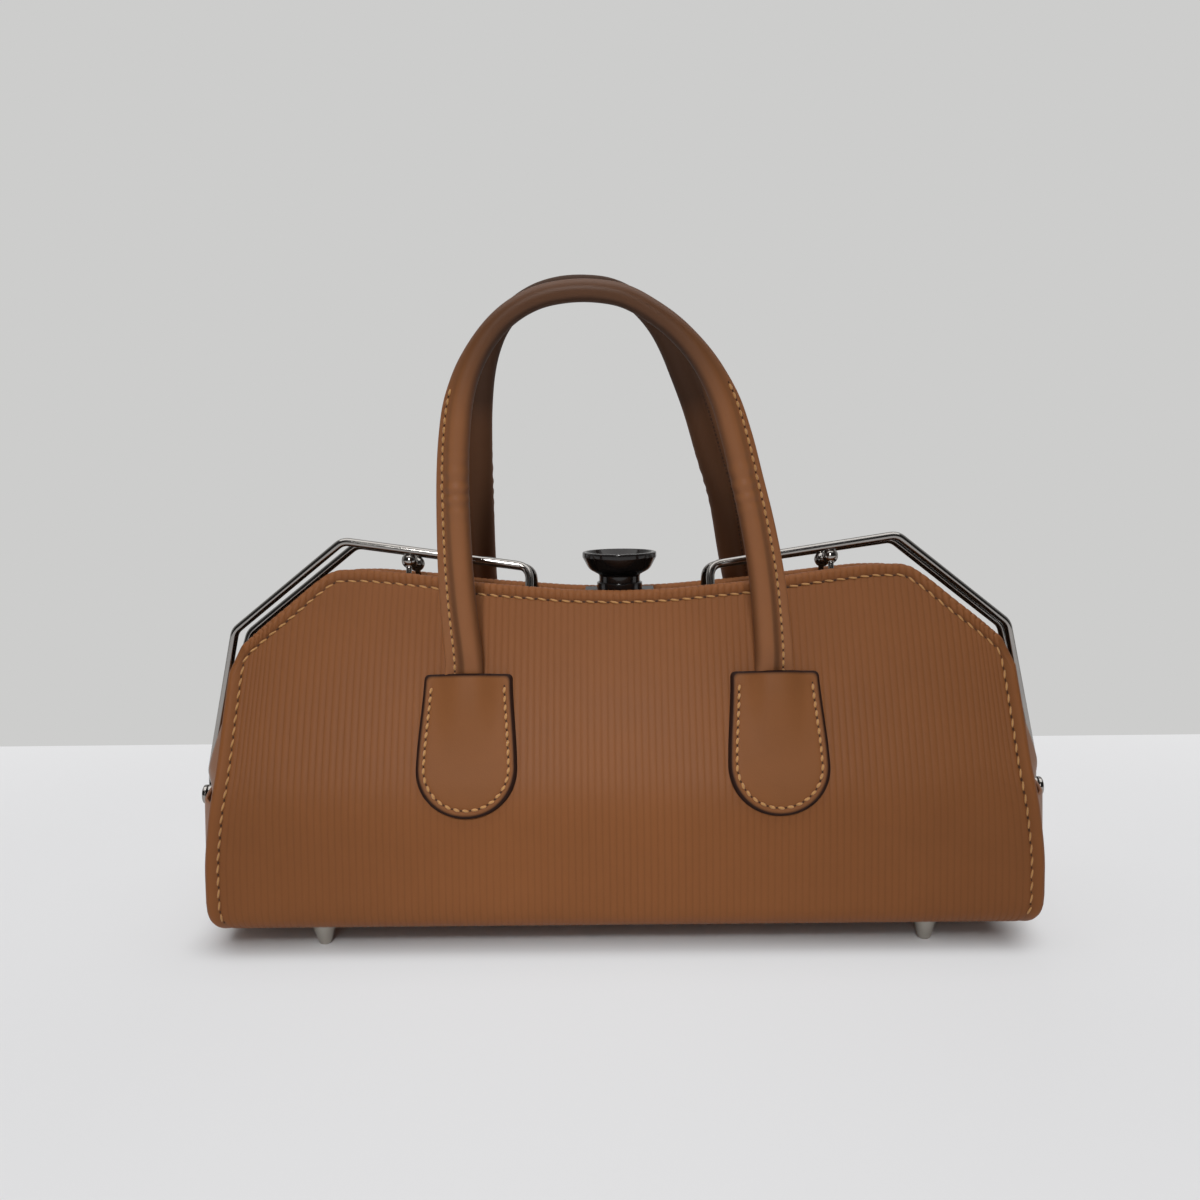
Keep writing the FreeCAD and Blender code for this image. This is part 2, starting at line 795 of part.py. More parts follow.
def build_wire(side, y_sign, drop, order, hand, x_sign):
    """One arm of a jaw: stub on the frame strip, run over the shoulder, leg to its lug on the hinge pin."""
    lug_low = lug_start(order).value
    lug_middle = lug_low + dim("lug_thickness").value / 2
    stub_low = dim("dip_height") - dim("wire_stub_drop") - drop
    stub_high = WIRE_END_Z - drop
    foot = Vector(lug_middle, -dim("wire_foot_y").value, dim("wire_foot_height").value)
    points = [
        Vector(dim("wire_end_x").value, surface_y(height, wire_centre_depth()).value, height.value)
        for height in (stub_low, stub_high)
    ]
    shoulder_z = WIRE_SHOULDER_Z - drop
    points.append(Vector(WIRE_SHOULDER_X.value, -dim("wire_shoulder_y").value, shoulder_z.value))
    corner_z = dim("corner_height") + dim("wire_corner_rise") - drop
    corner_x = CORNER_HALF + dim("wire_corner_offset")
    points.append(Vector(corner_x.value, -dim("wire_corner_y").value, corner_z.value))
    points.append(foot)
    rod = bent_rod(points, dim("wire_radius").value, dim("wire_bend").value)

    along_x = Vector(1, 0, 0)
    pivot = Vector(lug_low, 0, HINGE.value)
    width = dim("lug_half_width").value
    end = Vector(lug_low, foot.y, foot.z)
    across = (end - pivot).cross(along_x).normalize() * width
    far = end + (end - pivot).normalize() * width
    corners = [pivot + across, far + across, far - across, pivot - across, pivot + across]
    bar = Part.Face(Part.makePolygon(corners))
    thickness = dim("lug_thickness").value
    eye = Part.makeCylinder(dim("lug_radius").value, thickness, pivot, along_x)
    bore = Part.makeCylinder((dim("hinge_pin_radius") + dim("running_gap")).value, thickness, pivot, along_x)
    arm = rod.fuse([bar.extrude(along_x * thickness), eye]).removeSplitter().cut(bore)
    for sign, normal in ((y_sign, Vector(0, 1, 0)), (x_sign, along_x)):
        if sign < 0:
            arm = arm.mirror(Vector(), normal)
    wire = doc.addObject("Part::Feature", f"{side}_{hand}_wire")
    wire.Shape = arm
    wire.Label = wire.Name
    sub_parts.append(wire)
    return wire


def build_ball(side, y_sign, drop, hand, x_sign, wire):
    """Ball between a wire and the frame strip, seated on the wire, with a shank lying on the strip."""
    end_x = dim("wire_end_x")
    run = (dim("ball_x") - end_x) / (WIRE_SHOULDER_X - end_x)
    wire_z = WIRE_END_Z - drop + run * (WIRE_SHOULDER_Z - WIRE_END_Z)
    ball_z = wire_z - dim("wire_radius") - dim("ball_radius") + dim("ball_seat")
    depth = STRIP_FACE + dim("ball_shank_radius")
    foot_z = ball_z - dim("ball_shank")
    spot = x_sign * dim("ball_x")
    high_y = y_sign * surface_y(ball_z, depth)
    low_y = y_sign * surface_y(foot_z, depth)
    name = f"{side}_{hand}_ball"
    ball = doc.addObject("Part::Sphere", f"{name}_sphere")
    ball.setExpression("Radius", dim("ball_radius").text)
    shank = doc.addObject("Part::Cylinder", f"{name}_shank")
    shank.setExpression("Radius", dim("ball_shank_radius").text)
    lean_y = high_y - low_y
    shank.setExpression("Height", root(lean_y * lean_y + dim("ball_shank") * dim("ball_shank")).text)
    lean = Rotation(Vector(0, 0, 1), Vector(0, lean_y.value, dim("ball_shank").value))
    shank.Placement = Placement(Vector(), lean)
    for item, y, z in ((ball, high_y, ball_z), (shank, low_y, foot_z)):
        item.setExpression("Placement.Base.x", spot.text)
        item.setExpression("Placement.Base.y", y.text)
        item.setExpression("Placement.Base.z", z.text)
    stud = doc.addObject("Part::Fuse", f"{name}_stud")
    stud.Base = ball
    stud.Tool = shank
    cut = doc.addObject("Part::Cut", name)
    cut.Base = stud
    cut.Tool = wire
    cut.Label = name
    sub_parts.append(cut)


def tongue_depths(gap):
    """Outer and inner depth of a handle end below its tab, opened by a gap for the tab's pocket."""
    outer = dim("tab_wall") - dim("tab_thickness") - gap
    inner = gap - dim("tab_wall")
    return outer, inner


def place_on_panel(body, x_sign):
    body.setExpression("Placement.Base.x", (x_sign * dim("tab_x")).text)


def build_tab(name, turn, x_sign):
    body = new_body(name, turn)
    section = new_sketch(body, "section", "YZ_Plane")
    margin = dim("tab_wall")
    add_sheet(section, -dim("tab_thickness"), ZERO, TAB_LOW - margin, TAB_TOP + margin)
    extrude("Pad", body, section, 2 * (dim("tab_low_half") + margin))
    trim(body, "outline", mirrored([
        (dim("tab_low_half"), TAB_LOW, dim("tab_low_half") * dim("tab_round_share")),
        (dim("tab_top_half"), TAB_TOP),
    ]))
    gap = dim("running_gap")
    pocket = new_sketch(body, "pocket", "YZ_Plane")
    add_sheet(pocket, *tongue_depths(gap), TONGUE_LOW - gap, TAB_TOP + 2 * margin)
    extrude("Pocket", body, pocket, 2 * (dim("tongue_half_width") + gap))
    place_on_panel(body, x_sign)


def build_handle_end(name, turn, x_sign):
    """Flat end of a handle in its tab, with two cheeks and the cross pin that the handle swings on."""
    body = new_body(name, turn)
    width = 2 * dim("tongue_half_width")
    outer, inner = tongue_depths(ZERO)
    section = new_sketch(body, "section", "YZ_Plane")
    add_sheet(section, outer, inner, TONGUE_LOW, TAB_TOP)
    extrude("Pad", body, section, width)
    arm = dim("cheek_half_width")
    root_z = TAB_TOP - arm
    rim_z = TAB_TOP + dim("free_gap")
    cheeks = new_sketch(body, "cheeks", "YZ_Plane")
    add_path(cheeks, [
        (surface_y(root_z, inner), root_z),
        (HANDLE_Y + arm, HANDLE_Z - arm),
        (HANDLE_Y + arm, HANDLE_Z + arm, dim("cheek_round")),
        (HANDLE_Y - arm, HANDLE_Z + arm, dim("cheek_round")),
        (HANDLE_Y - arm, HANDLE_Z - arm),
        (surface_y(rim_z, outer), rim_z),
        (surface_y(root_z, outer), root_z),
    ], True)
    extrude("Pad", body, cheeks, width)
    mouth = new_sketch(body, "mouth", "YZ_Plane")
    reach = 2 * dim("handle_radius")
    add_box(mouth, HANDLE_Y - reach, rim_z - dim("free_gap"), HANDLE_Y + reach, HANDLE_Z + reach)
    extrude("Pocket", body, mouth, width - 2 * dim("cheek_thickness"))
    pin = new_sketch(body, "pin", "YZ_Plane")
    add_circle(pin, HANDLE_Y, HANDLE_Z, dim("handle_pin_radius"))
    extrude("Pad", body, pin, width)
    place_on_panel(body, x_sign)


def build_handle(side, y_sign):
    """Rolled handle: round arch with a sewn flange on the outside of each leg, swinging on its end pins."""
    name = f"{side}_handle"
    body = new_body(name)
    leg = dim("tab_x")
    reach = dim(f"{side}_handle_reach")
    left = dim(f"{side}_handle_left")
    right = dim(f"{side}_handle_right")
    path = new_sketch(body, "path", "XZ_Plane")
    add_path(path, [
        (-leg, ZERO),
        (-left, reach, dim("handle_bend")),
        (right, reach, dim("handle_bend")),
        (leg, ZERO),
    ], False)
    profile = new_sketch(body, "profile", "XY_Plane")
    add_circle(profile, -leg, ZERO, dim("handle_radius"))
    pipe = body.newObject("PartDesign::AdditivePipe", f"{name}_roll")
    pipe.Profile = profile
    pipe.Spine = (path, ["Edge1", "Edge2", "Edge3", "Edge4", "Edge5"])
    for hand, x_sign in (("left", -1), ("right", 1)):
        knuckle = body.newObject("PartDesign::AdditiveSphere", f"{name}_{hand}_knuckle")
        knuckle.setExpression("Radius", dim("handle_radius").text)
        knuckle.setExpression("Placement.Base.x", (x_sign * leg).text)
    flanges = new_sketch(body, "flanges", "XZ_Plane")
    low = dim("flange_low")
    high = dim("flange_high")
    buried = dim("flange_root")
    out = dim("handle_radius") + dim("flange_width")
    for x_sign, top in ((-1, left), (1, right)):
        def leg_x(height):
            return leg + (top - leg) * height / reach

        add_path(flanges, [
            (x_sign * (leg_x(low) + buried), low),
            (x_sign * (leg_x(low) + out), low),
            (x_sign * (leg_x(high) + out), high),
            (x_sign * (leg_x(high) + buried), high),
        ], True)
    extrude("Pad", body, flanges, dim("flange_thickness"))
    bore = dim("handle_pin_radius") + dim("running_gap")
    drill(body, "pin_bores", "YZ_Plane", [(ZERO, ZERO, bore)])
    lean = dim(f"{side}_handle_angle")
    body.Placement = Placement(Vector(), Rotation(Vector(1, 0, 0), lean.value))
    body.setExpression("Placement.Base.y", (y_sign * HANDLE_Y).text)
    body.setExpression("Placement.Base.z", HANDLE_Z.text)


def build_lock_plate():
    body = new_body("lock_plate")
    top = LOCK_TOP
    low = top - dim("lock_plate_thickness")
    wall = dim("bracket_thickness")
    flange_low = LOCK_TOP - dim("lock_flange_drop")
    section = new_sketch(body, "section", "YZ_Plane")
    add_path(section, [
        (-dim("lock_front"), low),
        (rear_strip(low) - wall, low),
        (rear_strip(flange_low) - wall, flange_low),
        (rear_strip(flange_low), flange_low),
        (rear_strip(top), top),
        (-dim("lock_front"), top),
    ], True)
    extrude("Pad", body, section, 2 * dim("lock_half_width"))
    drill(body, "stem_hole", "XY_Plane", [(ZERO, ZERO, dim("stem_radius") + dim("running_gap"))])


def rear_strip(height):
    """Y of the rear frame strip's inner face at a height."""
    return -surface_y(height, STRIP_FACE)


def front_strip(height):
    return surface_y(height, STRIP_FACE)


def build_keeper():
    """Bracket on the front strip: a fork round the knob's stem with a window for the latch tooth."""
    body = new_body("lock_keeper")
    wall = dim("bracket_thickness")
    top = KEEPER_TOP
    low = top - dim("keeper_thickness")
    high_end = top + dim("keeper_flange_rise")
    low_end = low - dim("keeper_flange_fall")
    section = new_sketch(body, "section", "YZ_Plane")
    add_path(section, [
        (front_strip(low_end), low_end),
        (front_strip(low_end) + wall, low_end),
        (front_strip(low) + wall, low),
        (dim("keeper_reach"), low),
        (dim("keeper_reach"), top),
        (front_strip(top) + wall, top),
        (front_strip(high_end) + wall, high_end),
        (front_strip(high_end), high_end),
    ], True)
    extrude("Pad", body, section, 2 * dim("keeper_half_width"))
    cuts = new_sketch(body, "cuts", "XY_Plane")
    slot = dim("keeper_slot_half")
    hole = dim("keeper_hole_half")
    add_box(cuts, -slot, -slot, slot, 2 * dim("keeper_reach"))
    add_box(cuts, -hole, -dim("keeper_hole_front"), hole, -dim("keeper_hole_back"))
    extrude("Pocket", body, cuts, None)


def build_latch_leaf():
    """Spring strip under the stem, on the lock plate's flange, with a tooth through the keeper's window."""
    body = new_body("latch_leaf")
    top = STEM_LOW - dim("running_gap")
    low = top - dim("leaf_thickness")
    front = -dim("tooth_front")
    tooth = front + dim("tooth_thickness")
    tip = KEEPER_TOP + dim("tooth_rise")
    wall = dim("bracket_thickness")
    section = new_sketch(body, "section", "YZ_Plane")
    add_path(section, [
        (front, low),
        (rear_strip(top) - wall, low),
        (rear_strip(top) - wall, top),
        (tooth, top),
        (tooth, tip),
        (front, tip),
    ], True)
    extrude("Pad", body, section, 2 * dim("leaf_half_width"))


def build_knob():
    """Turned knob: stem through the lock plate, hollow neck over the return spring, dished bowl."""
    body = new_body("lock_knob")
    stem = dim("stem_radius")
    neck = dim("neck_radius")
    bowl = dim("bowl_radius")
    spring_roof = spring_top()
    dish_floor = BOWL_TOP - dim("dish_depth")
    neck_low = LOCK_TOP + dim("neck_lift")
    revolve(body, "profile", "XZ_Plane", "V_Axis", [
        (ZERO, STEM_LOW),
        (stem, STEM_LOW),
        (stem, spring_roof),
        (neck - dim("neck_wall"), spring_roof),
        (neck - dim("neck_wall"), neck_low),
        (neck, neck_low),
        (neck, BOWL_LOW),
        (dim("bowl_flare_radius"), BOWL_LOW + dim("bowl_flare_rise"), dim("bowl_flare_round")),
        (bowl, BOWL_TOP - dim("rim_height"), dim("rim_low_round")),
        (bowl, BOWL_TOP, dim("rim_top_round")),
        (dim("dish_radius"), BOWL_TOP, dim("dish_lip_round")),
        (dim("dish_floor_radius"), dish_floor, dim("dish_floor_round")),
        (ZERO, dish_floor),
    ])


def spring_top():
    return BOWL_LOW - dim("neck_roof")


def build_spring():
    """Coil between the lock plate and the roof of the knob's neck."""
    body = new_body("knob_spring")
    wire = dim("spring_wire_radius")
    low = LOCK_TOP + wire
    section = new_sketch(body, "section", "XZ_Plane")
    add_circle(section, dim("spring_radius"), low, wire)
    coil = body.newObject("PartDesign::AdditiveHelix", "knob_spring_coil")
    coil.Profile = section
    coil.ReferenceAxis = (section, ["V_Axis"])
    coil.Mode = "height-turns-angle"
    coil.setExpression("Height", (spring_top() - wire - low).text)
    coil.setExpression("Turns", dim("spring_turns").text)


def build_lock():
    build_lock_plate()
    build_keeper()
    build_latch_leaf()
    build_knob()
    build_spring()
    neck = dim("neck_radius") + dim("running_gap")
    ring("lock_sleeve", neck + dim("sleeve_wall"), neck, LOCK_TOP, LOCK_TOP + dim("sleeve_height"))
    clip_top = LOCK_TOP - dim("lock_plate_thickness") - dim("running_gap")
    ring("knob_clip", dim("clip_radius"), dim("stem_radius"), clip_top - dim("clip_thickness"), clip_top)


def build_base():
    build_wrap()
    build_base_sheet("base_board", board_low(), dim("board_thickness"))
    build_base_sheet("base_lining", base_lining_low(), dim("lining_thickness"))
    for x_name, x_sign in (("left", -1), ("right", 1)):
        for y_name, y_sign in (("front", -1), ("rear", 1)):
            build_foot(f"{y_name}_{x_name}_foot", x_sign, y_sign)
            build_washer(f"{y_name}_{x_name}_washer", x_sign, y_sign)
    for hand, turn in (("left", 180.0), ("right", 0.0)):
        build_gusset(f"{hand}_gusset", turn)
        build_hinge_plate(f"{hand}_hinge_plate", turn)
        build_hinge_pin(f"{hand}_hinge_pin", turn)
        build_rivet(f"{hand}_lower_rivet", turn, "rivet_low_height")
        build_rivet(f"{hand}_upper_rivet", turn, "rivet_high_height")


def build_jaws():
    jaws = (("front", 1, 0.0, ZERO, 0), ("rear", -1, 180.0, dim("rear_drop"), 1))
    for side, y_sign, turn, drop, order in jaws:
        build_panel(side, turn, drop)
        build_fold(side, turn)
        build_frame(side, turn, drop)
        build_lining(side, turn, drop)
        for hand, x_sign in (("left", -1), ("right", 1)):
            wire = build_wire(side, y_sign, drop, order, hand, x_sign)
            build_ball(side, y_sign, drop, hand, x_sign, wire)
            build_tab(f"{side}_{hand}_tab", turn, x_sign)
            build_handle_end(f"{side}_{hand}_handle_end", turn, x_sign)
        build_handle(side, y_sign)


def write_parts():
    doc.recompute()
    for item in doc.Objects:
        if "Invalid" in item.State or "Error" in item.State:
            raise RuntimeError(f"{item.Name} did not build: {item.State}")
    for part in sub_parts:
        if part.Shape.isNull() or not part.Shape.isValid() or not part.Shape.Solids:
            raise RuntimeError(f"{part.Label} has no valid solid")
    os.makedirs("parts", exist_ok=True)
    for part in sub_parts:
        part.Shape.exportStep(f"parts/{part.Label}.step")


build_base()
build_jaws()
build_lock()
write_parts()
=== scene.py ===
"""Top handle bag: leather, stitching, handles, tabs, lining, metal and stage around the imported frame."""

import math

import bmesh
import bpy
import numpy as np
from mathutils import Matrix, Vector


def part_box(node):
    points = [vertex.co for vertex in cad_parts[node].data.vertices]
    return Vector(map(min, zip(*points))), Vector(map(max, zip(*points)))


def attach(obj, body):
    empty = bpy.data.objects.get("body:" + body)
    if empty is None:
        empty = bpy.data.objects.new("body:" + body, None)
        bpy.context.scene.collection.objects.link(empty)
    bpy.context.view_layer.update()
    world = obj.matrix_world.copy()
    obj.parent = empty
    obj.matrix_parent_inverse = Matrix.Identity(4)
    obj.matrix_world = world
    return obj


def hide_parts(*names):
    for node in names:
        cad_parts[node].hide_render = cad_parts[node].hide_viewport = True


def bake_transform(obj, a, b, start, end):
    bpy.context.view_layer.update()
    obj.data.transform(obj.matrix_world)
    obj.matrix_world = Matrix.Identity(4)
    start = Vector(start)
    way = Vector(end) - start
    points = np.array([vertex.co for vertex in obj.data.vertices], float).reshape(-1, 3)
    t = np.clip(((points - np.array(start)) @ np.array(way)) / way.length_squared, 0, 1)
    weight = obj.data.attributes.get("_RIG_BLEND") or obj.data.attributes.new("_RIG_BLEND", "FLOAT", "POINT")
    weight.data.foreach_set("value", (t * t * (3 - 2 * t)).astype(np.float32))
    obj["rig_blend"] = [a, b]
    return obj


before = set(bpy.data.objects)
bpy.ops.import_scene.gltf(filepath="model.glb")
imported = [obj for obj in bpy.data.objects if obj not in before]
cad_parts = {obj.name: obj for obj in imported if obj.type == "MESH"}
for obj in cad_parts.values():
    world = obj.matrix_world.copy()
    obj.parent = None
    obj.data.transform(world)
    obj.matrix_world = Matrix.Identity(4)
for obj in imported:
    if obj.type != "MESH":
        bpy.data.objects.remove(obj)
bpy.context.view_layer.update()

bl_info = {
    "name": "Top handle bag",
    "version": (1, 0, 0),
    "blender": (4, 5, 0),
    "location": "View3D > Sidebar > Bag",
    "description": "Builds the leather, stitching and metal of a framed top handle bag",
    "category": "Add Mesh",
}

MM = 0.001

# Distances in metres within which points are merged, in general and on panels, tabs and metal parts
MERGE = 1e-6
PANEL_MERGE = 1e-7
TAB_MERGE = 2e-5
METAL_MERGE = 1e-8

# Signs of the bag's sides and ends, and how much lower a side's top edge lies, in millimetres
SIDE = {"front": -1.0, "rear": 1.0}
END = {"left": -1.0, "right": 1.0}
DROP = {"front": 0.0, "rear": 3.0}

# Section of the outer face, in millimetres from the middle of the bag and from the floor
UNDERSIDE = 11.0
CORNER_DEPTH = 52.1
CORNER_HEIGHT = 20.5
CORNER_RADIUS = 9.5
FOLD_LOW = 21.0
FOLD_TOP = 54.0
FOLD_LEAN = 1.36 / 32.4
HINGE_HEIGHT = 51.0
SWING_RADIUS = 60.3
SWING_TOP = 73.1
SWEEP_RADIUS = 490.0
SWEEP_CENTRE = (399.80, -106.485)

# Outline of a panel, half of it: top edge as (from middle, height), side as (height, half width)
TOP_EDGE = (
    (0, 143.2), (20, 143.8), (34, 144.9), (58, 147), (78, 149.7), (95, 151.6), (108, 152.6), (116, 152.6),
    (120.6, 151.6), (124.8, 149.1), (138.6, 137.6), (152.2, 126.1), (155.8, 122.5), (157.6, 119.6),
    (158.6, 116), (159, 112),
)
SIDE_EDGE = ((25, 165.4), (35, 165.4), (57, 163.4), (76, 161), (94, 160), (112, 159.1), (125, 158.6))
WIDEST = 165.4
TOE_HEIGHT = 25.0
TOE_INSET = 4.5

# Rows of a panel: along the underside, round the corner, up the wall, then at gaps below the top
UNDERSIDE_ROWS = (0, 13, 26, 38, 46, CORNER_DEPTH)
CORNER_ROWS = 10
WALL_ROWS = 22
SCALED_FROM = 100.0
TOP_GAPS = (
    40, 35.5, 31, 27, 23, 19.5, 16.5, 14, 12, 10.4, 9, 7.8, 6.8, 5.9, 5.1, 4.4, 3.7, 3.0, 2.3, 1.7, 1.1, 0.5,
    0)
TOP_SPAN = 45

# Places across one rib as shares of the pitch, half width of a groove, and the margin in which columns lean
RIB_STEPS = (0, 0.12, 0.26, 0.5, 0.74, 0.88)
GROOVE_WIDTH = 0.3
LEAN_SPAN = 24
LEAN_HEIGHT = 114.0

# Relief of a panel: width and depth of its stitch channel, and height and width of the swelling at its edge
CHANNEL_WIDTH = 0.65
CHANNEL_DEPTH = 0.45
RIM_FADE = 1.2
SWELLING = 0.8
SWELLING_WIDTH = 1.5

# Unevenness of a panel as (rise, length across, shift, length up), and added depth of the rim's grooves
SAG = ((0.35, 47, 0.6, 26), (0.2, 19, 0.0, 17))
RIM_GROOVE = 1.3

# Painted shade of a panel in its grooves and in its stitch channel
GROOVE_SHADE = 0.17
CHANNEL_SHADE = 0.42

# Stitches and painted-shade needle holes as (length, width, height), painted-shade dots on a flange's back,
# and the slant
PANEL_THREAD = (3.6, 0.95, 0.85)
PANEL_HOLE = (1.3, 0.95, 0.55)
TAB_THREAD = (2.6, 1.2, 0.9)
FLANGE_THREAD = (2.6, 1.15, 0.9)
FINE_HOLE = (0.9, 0.85, 0.5)
FLANGE_MARK = (1.5, 0.8, 0.4)
SLANT = 0.2

# Tabs, in millimetres from the tab's middle line and from the floor
TAB_X = 61.5
TAB_TOP = 110.5
TAB_TOP_HALF = 17.4
TAB_WIDE_HEIGHT = 76.0
TAB_WIDE_HALF = 19.7
TAB_LOW = 57.6
TAB_REACH = 27.5
TAB_HEART = (0.0, 84.0)
TAB_RISE = 2.45
TAB_STITCH = 3.0
TAB_CHANNEL = 0.32

# Rise of a tab over the handle end: height, half width, lowest place and span
TAB_SWELL = 5.2
TAB_SWELL_HALF = 9.6
TAB_SWELL_LOW = 72
TAB_SWELL_SPAN = 39

# Rings of a tab from its foot over its painted edge onto its face, as (inset, rise), and its inner rings
TAB_RINGS = (
    (-0.35, -0.6), (-0.35, 0.4), (-0.1, 1.3), (0.3, 2.0), (0.75, 2.35), (1.3, TAB_RISE), (1.9, TAB_RISE),
    (2.4, TAB_RISE), (3.0, TAB_RISE), (3.6, TAB_RISE), (4.4, TAB_RISE))
TAB_INNER_RINGS = 16
TAB_POINTS = 169

# Handles: centre lines as (across, height) above the tabs, swing axis and lean
HANDLE_AXIS_Y = 43.4736
HANDLE_AXIS_Z = 116.5
FRONT_HANDLE = (
    (-60.2, 119), (-61.8, 138), (-62.9, 158), (-63.2, 187.6), (-62.2, 205.6), (-60.2, 220), (-56.3, 231.8),
    (-49.9, 242.4), (-41.4, 250.9), (-31, 256.6), (-19.5, 259), (-7.9, 259), (2.6, 256.9), (12.4, 251.7),
    (21.8, 244.7), (31, 234.4), (38.6, 220.5), (43.9, 203.8), (47.8, 187.5), (51.2, 172.8), (54, 157.9),
    (56.1, 142.8), (58, 119),
)
REAR_HANDLE = (
    (-60.8, 119), (-61.7, 150), (-61.7, 178), (-61.4, 205), (-60.6, 220), (-58.6, 235), (-55.8, 245),
    (-51.4, 254.2), (-44.4, 262.4), (-35, 268.2), (-24.2, 271.2), (-12.5, 271.6), (-3, 270.2), (5.8, 266.2),
    (12.7, 260.2), (18.3, 253.2), (23.3, 244.4), (28.3, 232.8), (34.2, 217.5), (40, 198.3), (46, 178.5),
    (50.6, 153.3), (57, 119),
)
HANDLE_LEAN = {"front": 5.0, "rear": -8.0}

# Shares of the flange and of the tube's thickness by height, heights in metres of the bend, and points
FLANGE_FADE = {
    "front": (
        (80, 1.0), (112, 1.0), (138, 0.85), (158, 0.71), (180, 0.56), (199, 0.45), (214, 0.35), (228, 0.15),
        (242, 0.0), (290, 0.0)),
    "rear": ((80, 1.0), (200, 1.0), (225, 0.9), (245, 0.5), (262, 0.0), (290, 0.0)),
}
TUBE_FADE = ((80, 1.0), (200, 1.0), (235, 0.94), (255, 0.88), (280, 0.88))
HANDLE_BEND = (0.108, 0.126)
HANDLE_STEPS = 360
HANDLE_SIDES = 80

# Handle inside its tab, as (height, lift off the panel, share of the way to the leg)
HANDLE_NECK = ((92, 1.0, 0.2), (101, 2.0, 0.5), (108, 3.2, 0.8), (112, 4.4, 0.95))

# Flange of a handle: degrees from its tip to its root, shares of that turn, half thickness and stitches
FLANGE_REACH = 56.0
FLANGE_TURN = (0, 0.1, 0.2, 0.4, 0.6, 0.8, 1.0)
FLANGE_HALF = 1.75
FLANGE_STITCH = 0.66
FLANGE_SEWN = (108, 224)

# Fine creases across a handle leg: depth, height of their middle and spread
WRINKLE = 0.32
WRINKLE_HEIGHT = 186
WRINKLE_SPREAD = 12

# Painted shade on a handle's inner face, flange root, inside of the loop and upper arch, and the most of it
INNER_SHADE = 0.74
ROOT_SHADE = 0.62
LOOP_SHADE = 0.54
ARCH_PAINTED_SHADE = 0.68
MOST_SHADE = 0.92

# Gussets: half depth, reach of the edge and swell of the middle by height, and the lower part's hem
GUSSET_HALF = ((11, 50.5), (13.5, 56.5), (18, 59.6), (40, 59.2), (62, 58.2), (90, 47.6), (114, 35.6))
GUSSET_EDGE = ((11, 162.6), (20, 164.6), (62, 164.2), (113, 160.4), (116, 160.2))
GUSSET_SWELL = ((11, 6.2), (17, 11.0), (24, 11.3), (62, 11.2), (113, 2.6), (116, 2.4))
GUSSET_HEM = 60.0
GUSSET_FLAT_ROWS = 22
GUSSET_LOW = 50
GUSSET_TOP = 114

# Rows of a lower gusset at its turned-in bottom and at its hem, as (height, pull towards the bag's middle)
GUSSET_TURN = ((11.1, 13), (11.1, 6), (11.25, 3), (11.8, 1.4), (12.8, 0.5), (14.4, 0.1), (17, 0))
GUSSET_FOLD = (
    (GUSSET_HEM - 0.4, 0.1), (GUSSET_HEM, 0.5), (GUSSET_HEM, 1.1), (GUSSET_HEM - 0.4, 1.6),
    (GUSSET_HEM - 5, 1.7))

# Lining: share of its rows below the scaled part, half width, and heights between which it follows the jaw
LINING_SPLIT = 0.55
LINING_HALF = 152
LINING_BEND = (15.5, 50.0)

# Profiles of turned parts as (radius, height) with the rounding of each inner corner
KNOB = (
    (0, 127.65), (3, 127.65), (3, 146.2), (7.6, 146.2), (7.6, 142.2), (8.8, 142.2), (8.8, 146.8),
    (13.2, 149.2), (15.9, 154.4), (15.9, 156.6), (14.3, 156.6), (10.5, 151.4), (0, 151.4))
KNOB_ROUND = (0.3, 0.3, 0.3, 0.2, 0.4, 1.2, 5.0, 1.2, 0.7, 0.5, 3.0)
SLEEVE = ((8.9, 139.5), (9.75, 139.5), (9.75, 143.6), (8.9, 143.6), (8.9, 139.5))
SLEEVE_ROUND = (0.1, 0.4, 0.2)
FOOT = ((0, 0), (2.4, 0), (5.3, 9.5), (5.3, 11), (1.8, 11), (1.8, 17.4), (0, 17.4))
FOOT_ROUND = (1.3, 0.9, 0.3, 0.1, 0.2)
FOOT_PLACE = (123, 43)
PIN = ((0, 176), (2, 176), (2, 182.7), (4.2, 182.7), (4.2, 184.6), (0, 184.6))
PIN_ROUND = (0.2, 0.1, 0.3, 1.7)
RIVET = (
    (0, 172.65), (2.7, 172.65), (2.7, 173.95), (1.4, 173.95), (1.4, 177.8), (2.7, 177.8), (2.7, 179.1),
    (0, 179.1))
RIVET_ROUND = (0.4, 0.2, 0.1, 0.1, 0.1, 1.2)
RIVET_HEIGHT = {"lower": 24, "upper": 38}
EYE = ((0, -1.0), (3.9, -1.0), (4.4, -0.75), (4.5, -0.4), (4.5, 0.4), (4.4, 0.75), (3.9, 1.0), (0, 1.0))

# Wire arms: stub on the frame strip, as its place across, lowest point, heights of the strip and depth in it
WIRE_STUB = 38
WIRE_LOW = 131
WIRE_STRIP = (133.0, 151.5)
WIRE_BEHIND = 5.75

# Corners as (across, depth, height), end as (depth, height), outermost place, shift to the right and bends
WIRE_CORNERS = ((117, 9.5, 163), (165, 7.5, 125))
WIRE_END = ((4.5, 63), (0.6, 53))
WIRE_FOOT = {"front": 179.1, "rear": 181.4}
WIRE_SHIFT = {"front": 0.0, "rear": 2.0}
WIRE_BEND = 6.5

# Spring of the knob: turns, radius, lowest and highest place of its wire, and the wire's radius
SPRING_TURNS = 4
SPRING_RADIUS = 5.3
SPRING_SPAN = (139.95, 145.75)
SPRING_WIRE = 0.45

# Latch leaf: line of its middle as (from the bag's middle, height), half width and thickness
LEAF_LINE = ((24.02, 126.9), (-9, 126.9), (-9, 133.8))
LEAF_HALF = 4.0
LEAF_THICK = 0.7

